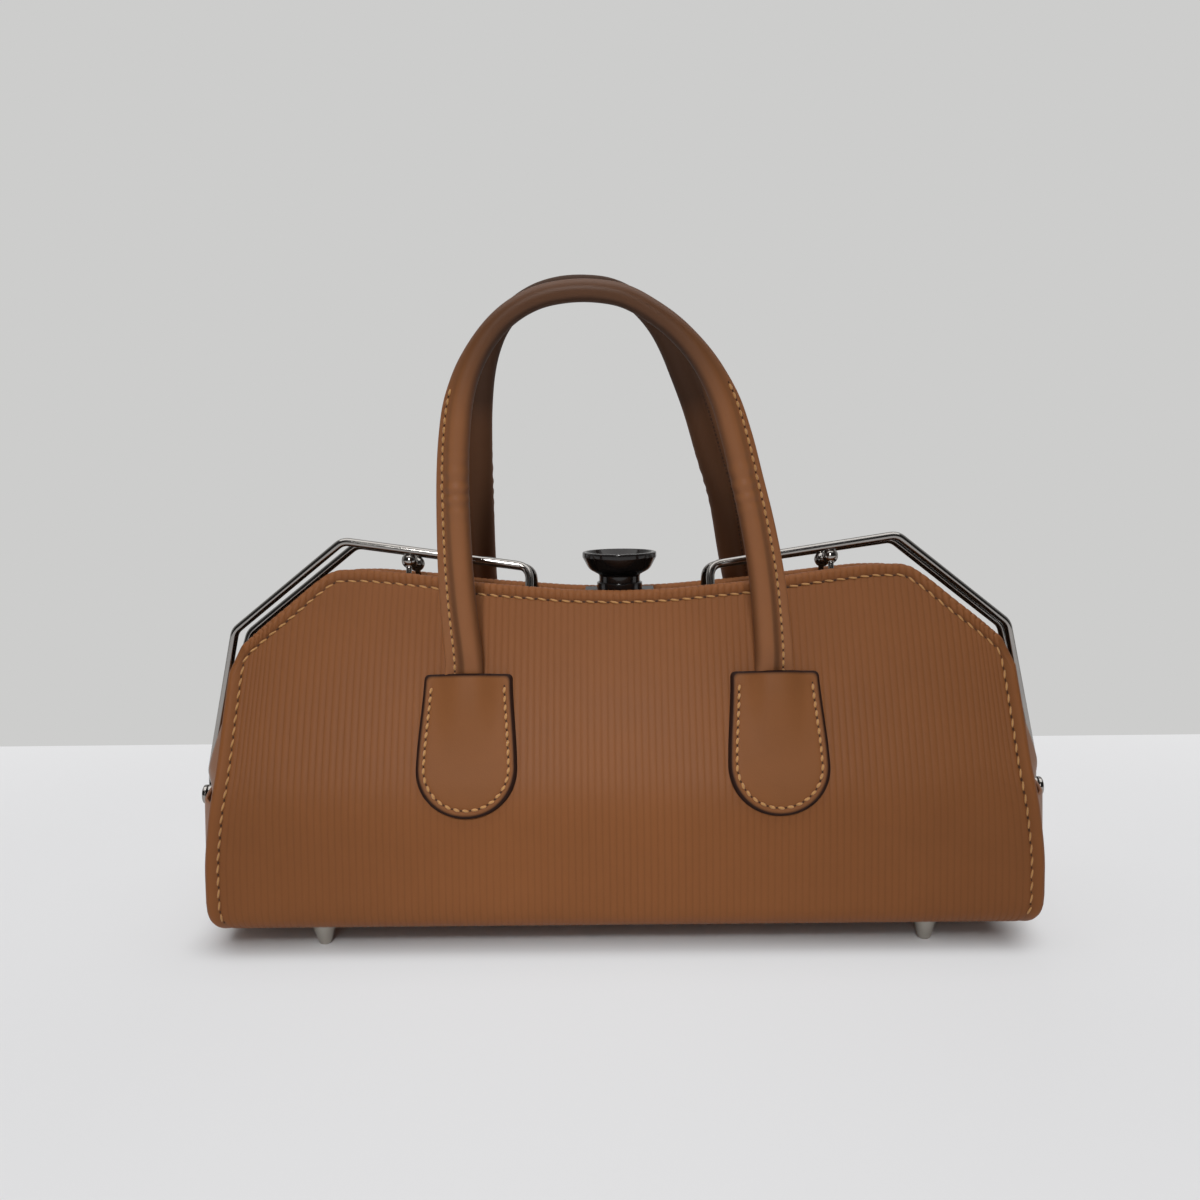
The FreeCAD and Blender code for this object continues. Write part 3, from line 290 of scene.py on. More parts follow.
# Ball studs and hinge plates: radii, half width, lowest and highest place, place of the back, thickness
BALL_RADIUS = 3.4
SHANK_RADIUS = 1.2
PLATE_HALF = 4.5
PLATE_SPAN = (17.0, 55.5)
PLATE_BACK = 176.0
PLATE_THICK = 1.8

# Turn at which a metal edge shows as sharp
SHARP_TURN = math.radians(40)

# Share of the surroundings' brightness that lights the bag
SKY_LIGHT = 0.05

# Share of the wall's evenly pale look that mirrors and glass show
MIRRORED_WALL = 0.45

# Half of the stage's width, the wall's place and height, and the bag's middle and half sizes on the floor
STAGE_HALF = 4
WALL_Y = 0.3
WALL_TOP = 0.7
BAG_MIDDLE = -0.004
BAG_HALF = 0.155
BAG_DEPTH = 0.04

# Shadow beside the bag, close and wide, as (share, where it is full, where it ends) in metres
SHADOWS = ((0.7, -0.001, 0.026), (0.3, 0.06, 0.5))

# Lamps as name: (kind, settings, place, aim)
LAMPS = {
    "ceiling": (
        "AREA", {"shape": "RECTANGLE", "size": 1.8, "size_y": 1.1, "energy": 9.5},
        (-0.03, -0.1, 1.25), (-0.03, -0.1, 0)),
    "rear": (
        "AREA", {"shape": "RECTANGLE", "size": 1.0, "size_y": 0.5, "energy": 7.0},
        (0.2, 1.5, 0.7), (0, 0, 0.1)),
    "front": (
        "SPOT", {"spot_size": math.radians(14), "spot_blend": 1.0, "shadow_soft_size": 0.12, "energy": 47.0},
        (-0.1, -1.55, 1.05), (-0.025, -0.06, 0.06)),
    "window": (
        "AREA", {"shape": "RECTANGLE", "size": 0.2, "size_y": 0.85, "energy": 6.2},
        (-0.15, -1.5, 0.9), (0, 0, 0.7)),
}

# Camera: yaw, pitch and roll in degrees, place in millimetres, and lens
CAMERA_TURN = (-0.441, 7.107, -0.695)
CAMERA_PLACE = (-4.59, -516.53, 199.99)
CAMERA_LENS = 36.09


def linear(red, green, blue):
    """Colour as Blender's linear values, from 0 to 255 as a screen shows it."""
    values = []
    for part in (red, green, blue):
        share = part / 255
        values.append(share / 12.92 if share <= 0.04045 else ((share + 0.055) / 1.055) ** 2.4)
    return tuple(values)


class BagSizes(bpy.types.PropertyGroup):
    """Sizes of the leather work, in metres."""

    rib_pitch: bpy.props.FloatProperty(
        name="Rib pitch", description="Distance between the pressed grooves of the panels",
        default=0.0027, min=0.0015, unit="LENGTH")
    groove_depth: bpy.props.FloatProperty(
        name="Groove depth", description="Depth of the pressed grooves", default=0.0002, unit="LENGTH")
    roll_radius: bpy.props.FloatProperty(
        name="Rolled edge", description="Radius of the panels' rolled edges", default=0.0026, unit="LENGTH")
    stitch_inset: bpy.props.FloatProperty(
        name="Stitch inset", description="Distance of the panel stitches from the edge",
        default=0.0051, unit="LENGTH")
    stitch_pitch: bpy.props.FloatProperty(
        name="Panel stitch", description="Length of a stitch and its gap on the panels",
        default=0.005, unit="LENGTH")
    fine_stitch_pitch: bpy.props.FloatProperty(
        name="Fine stitch", description="Length of a stitch and its gap on tabs and handles",
        default=0.0036, unit="LENGTH")
    handle_radius: bpy.props.FloatProperty(
        name="Handle radius", description="Radius of the rolled handles", default=0.0049, unit="LENGTH")
    flange_width: bpy.props.FloatProperty(
        name="Handle flange", description="Width of the stitched flange on the handle legs",
        default=0.0055, unit="LENGTH")
    wire_radius: bpy.props.FloatProperty(
        name="Wire radius", description="Radius of the frame's wire arms", default=0.00175, unit="LENGTH")


class BagColours(bpy.types.PropertyGroup):
    """Colours of the materials."""

    leather: bpy.props.FloatVectorProperty(
        name="Leather", description="Tan leather of the body", subtype="COLOR", size=3,
        default=linear(138, 86, 49))
    smooth_leather: bpy.props.FloatVectorProperty(
        name="Smooth leather", description="Tan leather of the handles and tabs", subtype="COLOR", size=3,
        default=linear(150, 96, 57))
    edge_paint: bpy.props.FloatVectorProperty(
        name="Edge paint", description="Dark paint on the cut edges of the tabs", subtype="COLOR", size=3,
        default=linear(46, 28, 22))
    thread: bpy.props.FloatVectorProperty(
        name="Thread", description="Sewing thread", subtype="COLOR", size=3, default=linear(200, 146, 84))
    lining: bpy.props.FloatVectorProperty(
        name="Lining", description="Woven lining", subtype="COLOR", size=3, default=linear(132, 102, 78))
    gunmetal: bpy.props.FloatVectorProperty(
        name="Gunmetal", description="Plated wires of the frame", subtype="COLOR", size=3,
        default=linear(160, 156, 152))
    nickel: bpy.props.FloatVectorProperty(
        name="Nickel", description="Satin feet", subtype="COLOR", size=3, default=linear(186, 181, 172))
    steel: bpy.props.FloatVectorProperty(
        name="Steel", description="Inner frame and lock parts", subtype="COLOR", size=3,
        default=linear(168, 168, 170))
    black: bpy.props.FloatVectorProperty(
        name="Black plating", description="Lock knob", subtype="COLOR", size=3, default=linear(30, 26, 25))
    floor: bpy.props.FloatVectorProperty(
        name="Floor", description="Floor of the stage", subtype="COLOR", size=3,
        default=linear(232, 233, 235))
    floor_seen: bpy.props.FloatVectorProperty(
        name="Far floor", description="Floor as seen away from the bag", subtype="COLOR", size=3,
        default=linear(231, 231, 232))
    wall: bpy.props.FloatVectorProperty(
        name="Wall", description="Wall behind the bag", subtype="COLOR", size=3,
        default=linear(205, 205, 204))


class Value:
    """A shader socket that takes part in Python arithmetic."""

    def __init__(self, finish, socket):
        self.finish = finish
        self.socket = socket

    def maths(self, operation, *operands):
        return self.finish.node("ShaderNodeMath", {"operation": operation}, dict(enumerate(operands)))

    def __add__(self, other):
        return self.maths("ADD", self, other)

    def __radd__(self, other):
        return self.maths("ADD", other, self)

    def __sub__(self, other):
        return self.maths("SUBTRACT", self, other)

    def __rsub__(self, other):
        return self.maths("SUBTRACT", other, self)

    def __mul__(self, other):
        return self.maths("MULTIPLY", self, other)

    def __rmul__(self, other):
        return self.maths("MULTIPLY", other, self)

    def __pow__(self, other):
        return self.maths("POWER", self, other)


class Nodes:
    """The nodes of a material or of the surroundings."""

    def __init__(self, tree):
        self.tree = tree

    def put(self, socket, value):
        """Links a Value to a socket, or sets the socket's own number or colour."""
        if isinstance(value, Value):
            self.tree.links.new(value.socket, socket)
        elif hasattr(value, "__len__") and len(value) == 3 and len(socket.default_value) == 4:
            socket.default_value = (*value, 1.0)
        else:
            socket.default_value = value

    def node(self, kind, settings=None, sockets=None, output=0):
        """Adds a node with its settings and socket values, and returns one of its outputs."""
        made = self.tree.nodes.new(kind)
        for key, value in (settings or {}).items():
            setattr(made, key, value)
        for key, value in (sockets or {}).items():
            found = made.inputs[key] if isinstance(key, int) else None
            found = found or next(s for s in made.inputs if key in (s.identifier, s.name) and s.enabled)
            self.put(found, value)
        found = made.outputs[output] if isinstance(output, int) else None
        found = found or next(s for s in made.outputs if output in (s.identifier, s.name))
        return Value(self, found)

    def shown(self):
        """1 for what the camera sees directly, in a mirror or through glass, and otherwise 0."""
        rays = ("Is Camera Ray", "Is Glossy Ray", "Is Transmission Ray")
        camera, mirror, glass = (self.node("ShaderNodeLightPath", output=ray) for ray in rays)
        return camera.maths("MAXIMUM", camera, mirror.maths("MAXIMUM", mirror, glass))

    def ramp(self, value, low, high):
        """Smooth rise from 0 to 1 between two values."""
        return self.node(
            "ShaderNodeMapRange", {"interpolation_type": "SMOOTHSTEP"},
            {"Value": value, "From Min": low, "From Max": high})

    def mix(self, share, first, second):
        """Colour between two colours."""
        return self.node(
            "ShaderNodeMix", {"data_type": "RGBA"},
            {"Factor_Float": share, "A_Color": first, "B_Color": second}, "Result_Color")

    def place(self, scale=(1, 1, 1)):
        """Object coordinates, stretched by a scale."""
        where = self.node("ShaderNodeTexCoord", output="Object")
        return self.node("ShaderNodeMapping", {"vector_type": "POINT"}, {"Vector": where, "Scale": scale})

    def noise(self, scale, detail=3.0, roughness=0.55, stretch=(1, 1, 1)):
        """Soft noise of about 0 to 1."""
        return self.node(
            "ShaderNodeTexNoise", None,
            {"Vector": self.place(stretch), "Scale": scale, "Detail": detail, "Roughness": roughness})

    def cells(self, scale):
        """Cell pattern, as in leather grain."""
        return self.node("ShaderNodeTexVoronoi", None, {"Vector": self.place(), "Scale": scale}, "Distance")

    def mark(self, name):
        """A value painted on the piece's points."""
        return self.node("ShaderNodeAttribute", {"attribute_name": name}, None, "Fac")


class Finish(Nodes):
    """A material in the making, with its main shader."""

    def __init__(self, name, **constants):
        self.material = bpy.data.materials.new(name)
        self.material.use_nodes = True
        super().__init__(self.material.node_tree)
        self.shader = self.tree.nodes["Principled BSDF"]
        for words, value in constants.items():
            self.feed(words.replace("_", " ").title().replace("Ior", "IOR"), value)

    def feed(self, socket, value):
        """Gives a socket of the main shader a value or a link."""
        self.put(self.shader.inputs[socket], value)

    def cover(self, share, other):
        """Lays another shader over the main one by a share."""
        under = Value(self, self.tree.nodes["Material Output"].inputs["Surface"].links[0].from_socket)
        joined = self.node("ShaderNodeMixShader", None, {0: share, 1: under, 2: other})
        self.put(self.tree.nodes["Material Output"].inputs["Surface"], joined)

    def bump(self, height, strength, distance):
        """Feeds the shader's normal with a bump."""
        self.feed("Normal", self.node(
            "ShaderNodeBump", None, {"Height": height, "Strength": strength, "Distance": distance}, "Normal"))


FINISHES = {}


def finish(name):
    """The material of that name, made once."""
    if name not in FINISHES:
        FINISHES[name] = MAKERS[name](bpy.context.scene.bag_colours)
    return FINISHES[name]


def shade(colour, factor):
    """A colour made lighter or darker."""
    return tuple(min(1.0, part * factor) for part in colour)


def ribbed_leather(colours):
    made = Finish("ribbed_leather", specular_ior_level=0.14)
    cloud = made.noise(26, 4.0, 0.6)
    grain = made.cells(1500)
    fine = made.noise(2600, 2.0)
    dark = made.mark("dark")
    tone = made.mix(cloud, shade(colours.leather, 0.9), shade(colours.leather, 1.1))
    # Painted shade in the grooves and the stitch channel
    tone = made.mix(dark, tone, shade(colours.leather, 0.3))
    # Painted highlight on the rolled edge
    tone = made.mix(made.mark("rim") * 0.3, tone, shade(colours.leather, 1.25))
    made.feed("Base Color", tone)
    made.feed("Roughness", 0.40 + 0.10 * cloud + 0.4 * dark + 0.05 * grain)
    made.bump(grain * 0.6 + fine * 0.5, 0.22, 0.00025)
    return made.material


def smooth_leather(colours):
    return calf("smooth_leather", colours.smooth_leather, colours.edge_paint, 0.34, 0.35)


def tab_leather(colours):
    # The tabs take the handles' leather, painted darker as shade, with less gloss
    return calf("tab_leather", shade(colours.smooth_leather, 0.82), colours.edge_paint, 0.12, 0.46)


def calf(name, colour, edge, gloss, roughness):
    """Fine-grained leather with painted edges and painted shade where it is marked."""
    made = Finish(name, specular_ior_level=gloss)
    cloud = made.noise(34, 4.0, 0.6)
    grain = made.cells(1700)
    crease = made.noise(420, 5.0, 0.62)
    tone = made.mix(cloud, shade(colour, 0.88), shade(colour, 1.1))
    # Painted shade on the handles' inner faces, flange roots, loops and arches
    tone = made.mix(made.mark("grip"), tone, shade(colour, 0.12))
    tone = made.mix(made.mark("paint"), tone, edge)
    made.feed("Base Color", tone)
    made.feed("Roughness", roughness + 0.12 * cloud + 0.06 * grain + 0.35 * made.mark("matte"))
    made.bump(grain * 0.5 + crease * 0.8, 0.18, 0.00025)
    return made.material


def thread(colours):
    made = Finish("thread", roughness=0.7, sheen_weight=0.3)
    strands = made.noise(1800, 2.0)
    made.feed("Base Color", made.mix(strands, shade(colours.thread, 0.75), shade(colours.thread, 1.12)))
    made.bump(strands, 0.5, 0.0002)
    return made.material


def needle_hole(colours):
    # Dark beads of painted shade that stand for the shade in needle holes
    made = Finish("needle_hole", roughness=0.85)
    patches = made.noise(900)
    made.feed("Base Color", made.mix(patches, shade(colours.leather, 0.16), shade(colours.leather, 0.3)))
    return made.material


def lining_cloth(colours):
    made = Finish("lining_cloth", roughness=0.8, sheen_weight=0.25)
    along, across = (
        made.node("ShaderNodeTexWave", {"bands_direction": axis}, {
            "Vector": made.place(), "Scale": 330, "Distortion": 0.4, "Detail": 1.0})
        for axis in "XZ")
    weave = along * 0.5 + across * 0.5
    made.feed("Base Color", made.mix(
        weave * 0.7 + made.noise(40) * 0.3, shade(colours.lining, 0.75), shade(colours.lining, 1.2)))
    made.bump(weave, 0.35, 0.0002)
    return made.material


def plated(name, colour, roughness, wear):
    """Plated metal with fine scratches and a cloudy gloss."""
    made = Finish(name, metallic=1.0)
    cloud = made.noise(90, 4.0)
    scratch = made.noise(700, 3.0, 0.6, (1, 1, 0.12))
    made.feed("Base Color", made.mix(cloud, shade(colour, 0.85), shade(colour, 1.12)))
    made.feed("Roughness", roughness + wear * cloud + wear * 0.7 * scratch)
    made.bump(scratch, 0.06, 0.0001)
    return made.material


def gunmetal(colours):
    return plated("gunmetal", colours.gunmetal, 0.07, 0.08)


def nickel(colours):
    return plated("nickel", colours.nickel, 0.28, 0.12)


def steel(colours):
    return plated("steel", colours.steel, 0.34, 0.16)


def blackened_steel(colours):
    made = Finish("blackened_steel", specular_ior_level=0.12)
    cloud = made.noise(140, 3.0)
    made.feed("Base Color", made.mix(cloud, shade(colours.black, 0.7), shade(colours.black, 1.5)))
    made.feed("Roughness", 0.5 + 0.2 * cloud)
    made.bump(made.noise(1200, 2.0), 0.1, 0.0001)
    return made.material


def black_plating(colours):
    made = Finish("black_plating", coat_weight=0.5, coat_roughness=0.03, specular_ior_level=0.3)
    cloud = made.noise(120, 3.0)
    made.feed("Base Color", made.mix(cloud, shade(colours.black, 0.7), shade(colours.black, 1.3)))
    made.feed("Roughness", 0.16 + 0.1 * cloud)
    made.feed("Metallic", 0.25 + 0.2 * cloud)
    made.bump(made.noise(900, 2.0), 0.04, 0.0001)
    return made.material


def grey_board(colours):
    made = Finish("grey_board", roughness=0.9)
    pulp = made.noise(600, 5.0, 0.7)
    made.feed("Base Color", made.mix(pulp, linear(120, 112, 100), linear(150, 142, 128)))
    made.bump(pulp, 0.3, 0.0003)
    return made.material


MAKERS = {maker.__name__: maker for maker in (
    ribbed_leather, smooth_leather, tab_leather, thread, needle_hole, lining_cloth, gunmetal, nickel, steel,
    blackened_steel, black_plating, grey_board)}


def ease(value):
    """Smooth step from 0 to 1."""
    held = np.clip(value, 0.0, 1.0)
    return held * held * (3 - 2 * held)


def bell(value, width):
    """1 at zero, falling smoothly to both sides."""
    return np.exp(-(value / width) ** 2)


def through(points, at):
    """Smooth curve through rising points, with no overshoot."""
    xs, ys = np.array(points, float).T
    gaps = np.diff(xs)
    slopes = np.diff(ys) / gaps
    turns = np.zeros(len(xs))
    same = slopes[:-1] * slopes[1:] > 0
    joined = slopes[:-1] + slopes[1:]
    turns[1:-1] = np.where(same, 2 * slopes[:-1] * slopes[1:] / np.where(joined == 0, 1, joined), 0)
    turns[0] = slopes[0]
    turns[-1] = slopes[-1]
    at = np.clip(at, xs[0], xs[-1])
    low = np.clip(np.searchsorted(xs, at) - 1, 0, len(gaps) - 1)
    share = (at - xs[low]) / gaps[low]
    bend = share * share * (3 - 2 * share)
    start = share * (1 - share) ** 2 * gaps[low] * turns[low]
    end = share * share * (share - 1) * gaps[low] * turns[low + 1]
    return ys[low] + (ys[low + 1] - ys[low]) * bend + start + end


def spline(points, count):
    """Even points along a smooth curve through a few points."""
    knots = np.array(points, float)
    spans = np.sqrt(np.linalg.norm(np.diff(knots, axis=0), axis=1))
    times = np.concatenate([[0], np.cumsum(spans)])
    tangents = np.gradient(knots, times, axis=0)
    at = np.linspace(0, times[-1], count * 6)
    low = np.clip(np.searchsorted(times, at, side="right") - 1, 0, len(spans) - 1)
    gap = spans[low][:, None]
    share = ((at - times[low]) / spans[low])[:, None]
    line = (
        (2 * share ** 3 - 3 * share ** 2 + 1) * knots[low]
        + (share ** 3 - 2 * share ** 2 + share) * gap * tangents[low]
        + (3 * share ** 2 - 2 * share ** 3) * knots[low + 1]
        + (share ** 3 - share ** 2) * gap * tangents[low + 1])
    return even(line, count)


def lengths(line):
    """Length along a line at each of its points."""
    return np.concatenate([[0], np.cumsum(np.linalg.norm(np.diff(line, axis=0), axis=1))])


def even(line, count):
    """A line's points set at even distances."""
    run = lengths(line)
    at = np.linspace(0, run[-1], count)
    return np.stack([np.interp(at, run, part) for part in line.T], axis=1)


def unit(vectors):
    """Vectors of length one."""
    return vectors / np.linalg.norm(vectors, axis=-1, keepdims=True)


def wall_depth(height):
    """Depth of the outer face from the bag's middle, at a height above the bottom corner."""
    fold = CORNER_DEPTH + CORNER_RADIUS - FOLD_LEAN * (height - CORNER_HEIGHT - 0.8)
    swing = np.sqrt(np.maximum(SWING_RADIUS ** 2 - (height - HINGE_HEIGHT) ** 2, 0))
    sweep = np.sqrt(SWEEP_RADIUS ** 2 - (height - SWEEP_CENTRE[1]) ** 2) - SWEEP_CENTRE[0]
    return np.where(height < FOLD_TOP, fold, np.where(height < SWING_TOP, swing, sweep))


class ShellLine:
    """Section of the outer face by the length along it, from the middle of the underside to the mouth."""

    def __init__(self):
        flat = np.linspace(0, CORNER_DEPTH, 40)[:-1]
        turn = np.linspace(-math.pi / 2, 0, 40)[:-1]
        wall = np.linspace(CORNER_HEIGHT, 158, 500)
        depth = np.concatenate([flat, CORNER_DEPTH + CORNER_RADIUS * np.cos(turn), wall_depth(wall)])
        height = np.concatenate(
            [np.full(len(flat), UNDERSIDE), CORNER_HEIGHT + CORNER_RADIUS * np.sin(turn), wall])
        self.depth = depth
        self.height = height
        self.run = lengths(np.stack([depth, height], axis=1))
        self.wall_start = len(flat) + len(turn)
        heading = unit(np.stack([np.gradient(depth, self.run), np.gradient(height, self.run)], axis=1))
        self.out_depth = heading[:, 1]
        self.out_height = -heading[:, 0]

    def run_at(self, height):
        """Length along the section at a height of the wall."""
        return np.interp(height, self.height[self.wall_start:], self.run[self.wall_start:])

    def at(self, run):
        """Depth, height and outward direction at a length along the section."""
        return tuple(
            np.interp(run, self.run, part)
            for part in (self.depth, self.height, self.out_depth, self.out_height))


SHELL = ShellLine()


def on_shell(sign, across, run, lift):
    """Points of the outer face, lifted off it, in millimetres."""
    depth, height, out_depth, out_height = SHELL.at(run)
    return np.stack(
        np.broadcast_arrays(across, sign * (depth + lift * out_depth), height + lift * out_height), axis=-1)


def out_of_shell(sign, run):
    """Outward directions of the outer face."""
    _, _, out_depth, out_height = SHELL.at(run)
    return np.stack(np.broadcast_arrays(0 * out_depth, sign * out_depth, out_height), axis=-1)


def up_shell(sign, run):
    """Upward directions along the outer face."""
    _, _, out_depth, out_height = SHELL.at(run)
    return np.stack(np.broadcast_arrays(0 * out_depth, -sign * out_height, out_depth), axis=-1)


def half_width(height):
    """Half width of a panel at a height."""
    rise = np.clip((TOE_HEIGHT - height) / (TOE_HEIGHT - UNDERSIDE), 0, 1)
    toe = WIDEST - TOE_INSET * (1 - np.sqrt(1 - rise ** 2))
    return np.where(height < TOE_HEIGHT, toe, through(SIDE_EDGE, height))


def top_edge(across, drop):
    """Height of a panel's top edge."""
    return through(TOP_EDGE, np.abs(across)) - drop


def outline(drop, inset, low=UNDERSIDE):
    """A panel's outline at an inset, as (across, height) from the left over the top to the right."""
    rise = np.linspace(low, 112, 240)
    left = np.stack([-half_width(rise), rise], axis=1)
    over = np.linspace(-158.9, 158.9, 1400)
    top = np.stack([over, top_edge(over, 0)], axis=1)
    right = left[::-1] * (-1, 1)
    line = np.concatenate([left, top, right])
    line[:, 1] -= drop * ease((line[:, 1] - 90) / 40)
    line = even(line, 1600)
    heading = unit(np.gradient(line, axis=0))
    return line + inset * np.stack([heading[:, 1], -heading[:, 0]], axis=1)


def grid(columns, rows):
    """A flat grid and the column and row of each of its vertices."""
    bm = bmesh.new()
    bmesh.ops.create_grid(bm, x_segments=columns, y_segments=rows, size=0.5)
    flat = np.array([vert.co for vert in bm.verts])
    column = np.rint((flat[:, 0] + 0.5) * columns).astype(int)
    row = np.rint((flat[:, 1] + 0.5) * rows).astype(int)
    return bm, column, row


def lay(bm, points, **marks):
    """Moves a mesh's vertices to points in millimetres and paints values on them."""
    for name in marks:
        bm.verts.layers.float.new(name)
    for name, values in marks.items():
        layer = bm.verts.layers.float[name]
        for vert, value in zip(bm.verts, values):
            vert[layer] = float(value)
    for vert, point in zip(bm.verts, points):
        vert.co = Vector(point) * MM


def face_out(bm, outward):
    """Turns an open sheet's faces towards a direction."""
    bmesh.ops.recalc_face_normals(bm, faces=bm.faces)
    total = sum((face.normal * face.calc_area() for face in bm.faces), Vector())
    if total.dot(Vector(outward)) < 0:
        bmesh.ops.reverse_faces(bm, faces=bm.faces)


def piece(name, bm, finishes, nodes=(), outward=None, doubles=MERGE, sharp=None):
    """Makes a finished object of a mesh."""
    bmesh.ops.remove_doubles(bm, verts=bm.verts, dist=doubles)
    if outward:
        face_out(bm, outward)
    else:
        bmesh.ops.recalc_face_normals(bm, faces=bm.faces)
    for face in bm.faces:
        face.smooth = True
    if sharp:
        for edge in bm.edges:
            edge.smooth = edge.calc_face_angle(0) < sharp
    mesh = bpy.data.meshes.new(name)
    bm.to_mesh(mesh)
    bm.free()
    for word in finishes:
        mesh.materials.append(finish(word))
    made = bpy.data.objects.new(name, mesh)
    bpy.context.collection.objects.link(made)
    if nodes:
        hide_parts(*nodes)
    return made


def metal_piece(name, bm, word, node):
    """Makes a finished object with sharp edges, which stands for a metal part."""
    return piece(name, bm, [word], [node], None, METAL_MERGE, SHARP_TURN)


def bend_with_jaw(made, side, low=FOLD_LOW, high=FOLD_TOP):
    """The piece follows the base below the fold and the jaw above it."""
    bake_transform(made, "base", f"{side}_jaw", start=(0, 0, low * MM), end=(0, 0, high * MM))


STITCHES = {}


def stitch_shape(index):
    """A small rounded bead of size one, made once for each material."""
    if index not in STITCHES:
        bm = bmesh.new()
        bmesh.ops.create_uvsphere(bm, u_segments=8, v_segments=5, radius=1.0)
        for face in bm.faces:
            face.material_index = index
        STITCHES[index] = bpy.data.meshes.new(f"stitch_{index}")
        bm.to_mesh(STITCHES[index])
        bm.free()
    return STITCHES[index]


def add_stitch(bm, centre, along, out, size, index=0):
    """One rounded stitch of (length, width, height), lying on a surface."""
    along = Vector(along).normalized()
    across = Vector(out).cross(along).normalized()
    out = along.cross(across)
    length, width, height = (part * MM / 2 for part in size)
    turn = Matrix((across * width, out * height, along * length)).transposed().to_4x4()
    turn.translation = Vector(centre) * MM
    bead = stitch_shape(index).copy()
    bead.transform(turn)
    bm.from_mesh(bead)
    bpy.data.meshes.remove(bead)


def sew(bm, line, outs, pitch, size, slant=0.0, index=0, hole=FINE_HOLE):
    """Stitches along a line of points with outward directions, with dark beads of painted shade at the needle
    holes.
    """
    run = lengths(line)
    count = max(2, int(round(run[-1] / pitch)))
    step = run[-1] / count
    for place in range(count):
        middle = (place + 0.5) * step
        at = np.array([middle - 0.4 * step, middle, middle + 0.4 * step])
        spots = np.stack([np.interp(at, run, part) for part in line.T], axis=1)
        out = unit(np.array([np.interp(middle, run, part) for part in outs.T]))
        along = unit(spots[2] - spots[0])
        along = unit(along + slant * np.cross(out, along))
        add_stitch(bm, spots[1] + out * 0.22 * size[2], along, out, size, index)
        # Dark bead of painted shade at the needle hole between stitches
        gap = np.array([np.interp(place * step, run, part) for part in line.T])
        add_stitch(bm, gap - 0.05 * out, along, out, hole, 1)


class BAG_OT_panels(bpy.types.Operator):
    """Ribbed leather of the front and the rear, from the underside up to the rolled top edges"""

    bl_idname = "bag.panels"
    bl_label = "Ribbed panels"

    def execute(self, context):
        for side in SIDE:
            made = ribbed_panel(side, context.scene.bag_sizes)
            bend_with_jaw(made, side)
            seams = panel_seam(side, context.scene.bag_sizes)
            bend_with_jaw(seams, side)
        return {"FINISHED"}


def panel_columns(reach, pitch):
    """Places across a panel, several for each rib, and how deep in a groove each of them lies."""
    ribs = int((reach - 1) // pitch)
    ribbed = ((np.arange(-ribs, ribs)[:, None] + RIB_STEPS) * pitch).ravel()
    flat = np.concatenate([[-reach], ribbed, [ribs * pitch, reach]])
    phase = (flat / pitch) - np.rint(flat / pitch)
    groove = bell(phase * pitch, GROOVE_WIDTH)
    groove[np.abs(flat) > reach - 0.6] = 0
    return flat, groove


def panel_rows(top_across, edge):
    """Lengths along the section and heights of a panel's points, row by row."""
    fixed = np.concatenate([
        UNDERSIDE_ROWS,
        np.linspace(CORNER_DEPTH, SHELL.run[SHELL.wall_start], CORNER_ROWS)[1:],
        SHELL.run_at(np.linspace(CORNER_HEIGHT, SCALED_FROM, WALL_ROWS)[1:])])
    rising = 1 - np.array(TOP_GAPS) / TOP_SPAN
    order = np.argsort(edge[:, 0])
    upper = edge[order][edge[order][:, 1] > 105]
    tops = np.interp(top_across, upper[:, 0], upper[:, 1])
    heights = np.empty((len(fixed) + len(rising), len(top_across)))
    runs = np.empty_like(heights)
    runs[: len(fixed)] = fixed[:, None]
    heights[: len(fixed)] = SHELL.at(fixed)[1][:, None]
    heights[len(fixed) :] = SCALED_FROM + (tops - SCALED_FROM) * rising[:, None]
    runs[len(fixed) :] = SHELL.run_at(heights[len(fixed) :])
    return runs, heights


def edge_margin(across, heights, drop):
    """Distance of a panel's points from its edge."""
    spots = np.linspace(-160, 160, 641)
    slope = np.gradient(top_edge(spots, drop), 0.5)
    steep = np.interp(across, spots, slope)
    from_top = (top_edge(across, drop) - heights) / np.sqrt(1 + steep ** 2)
    return np.minimum(from_top, half_width(heights) - np.abs(across))


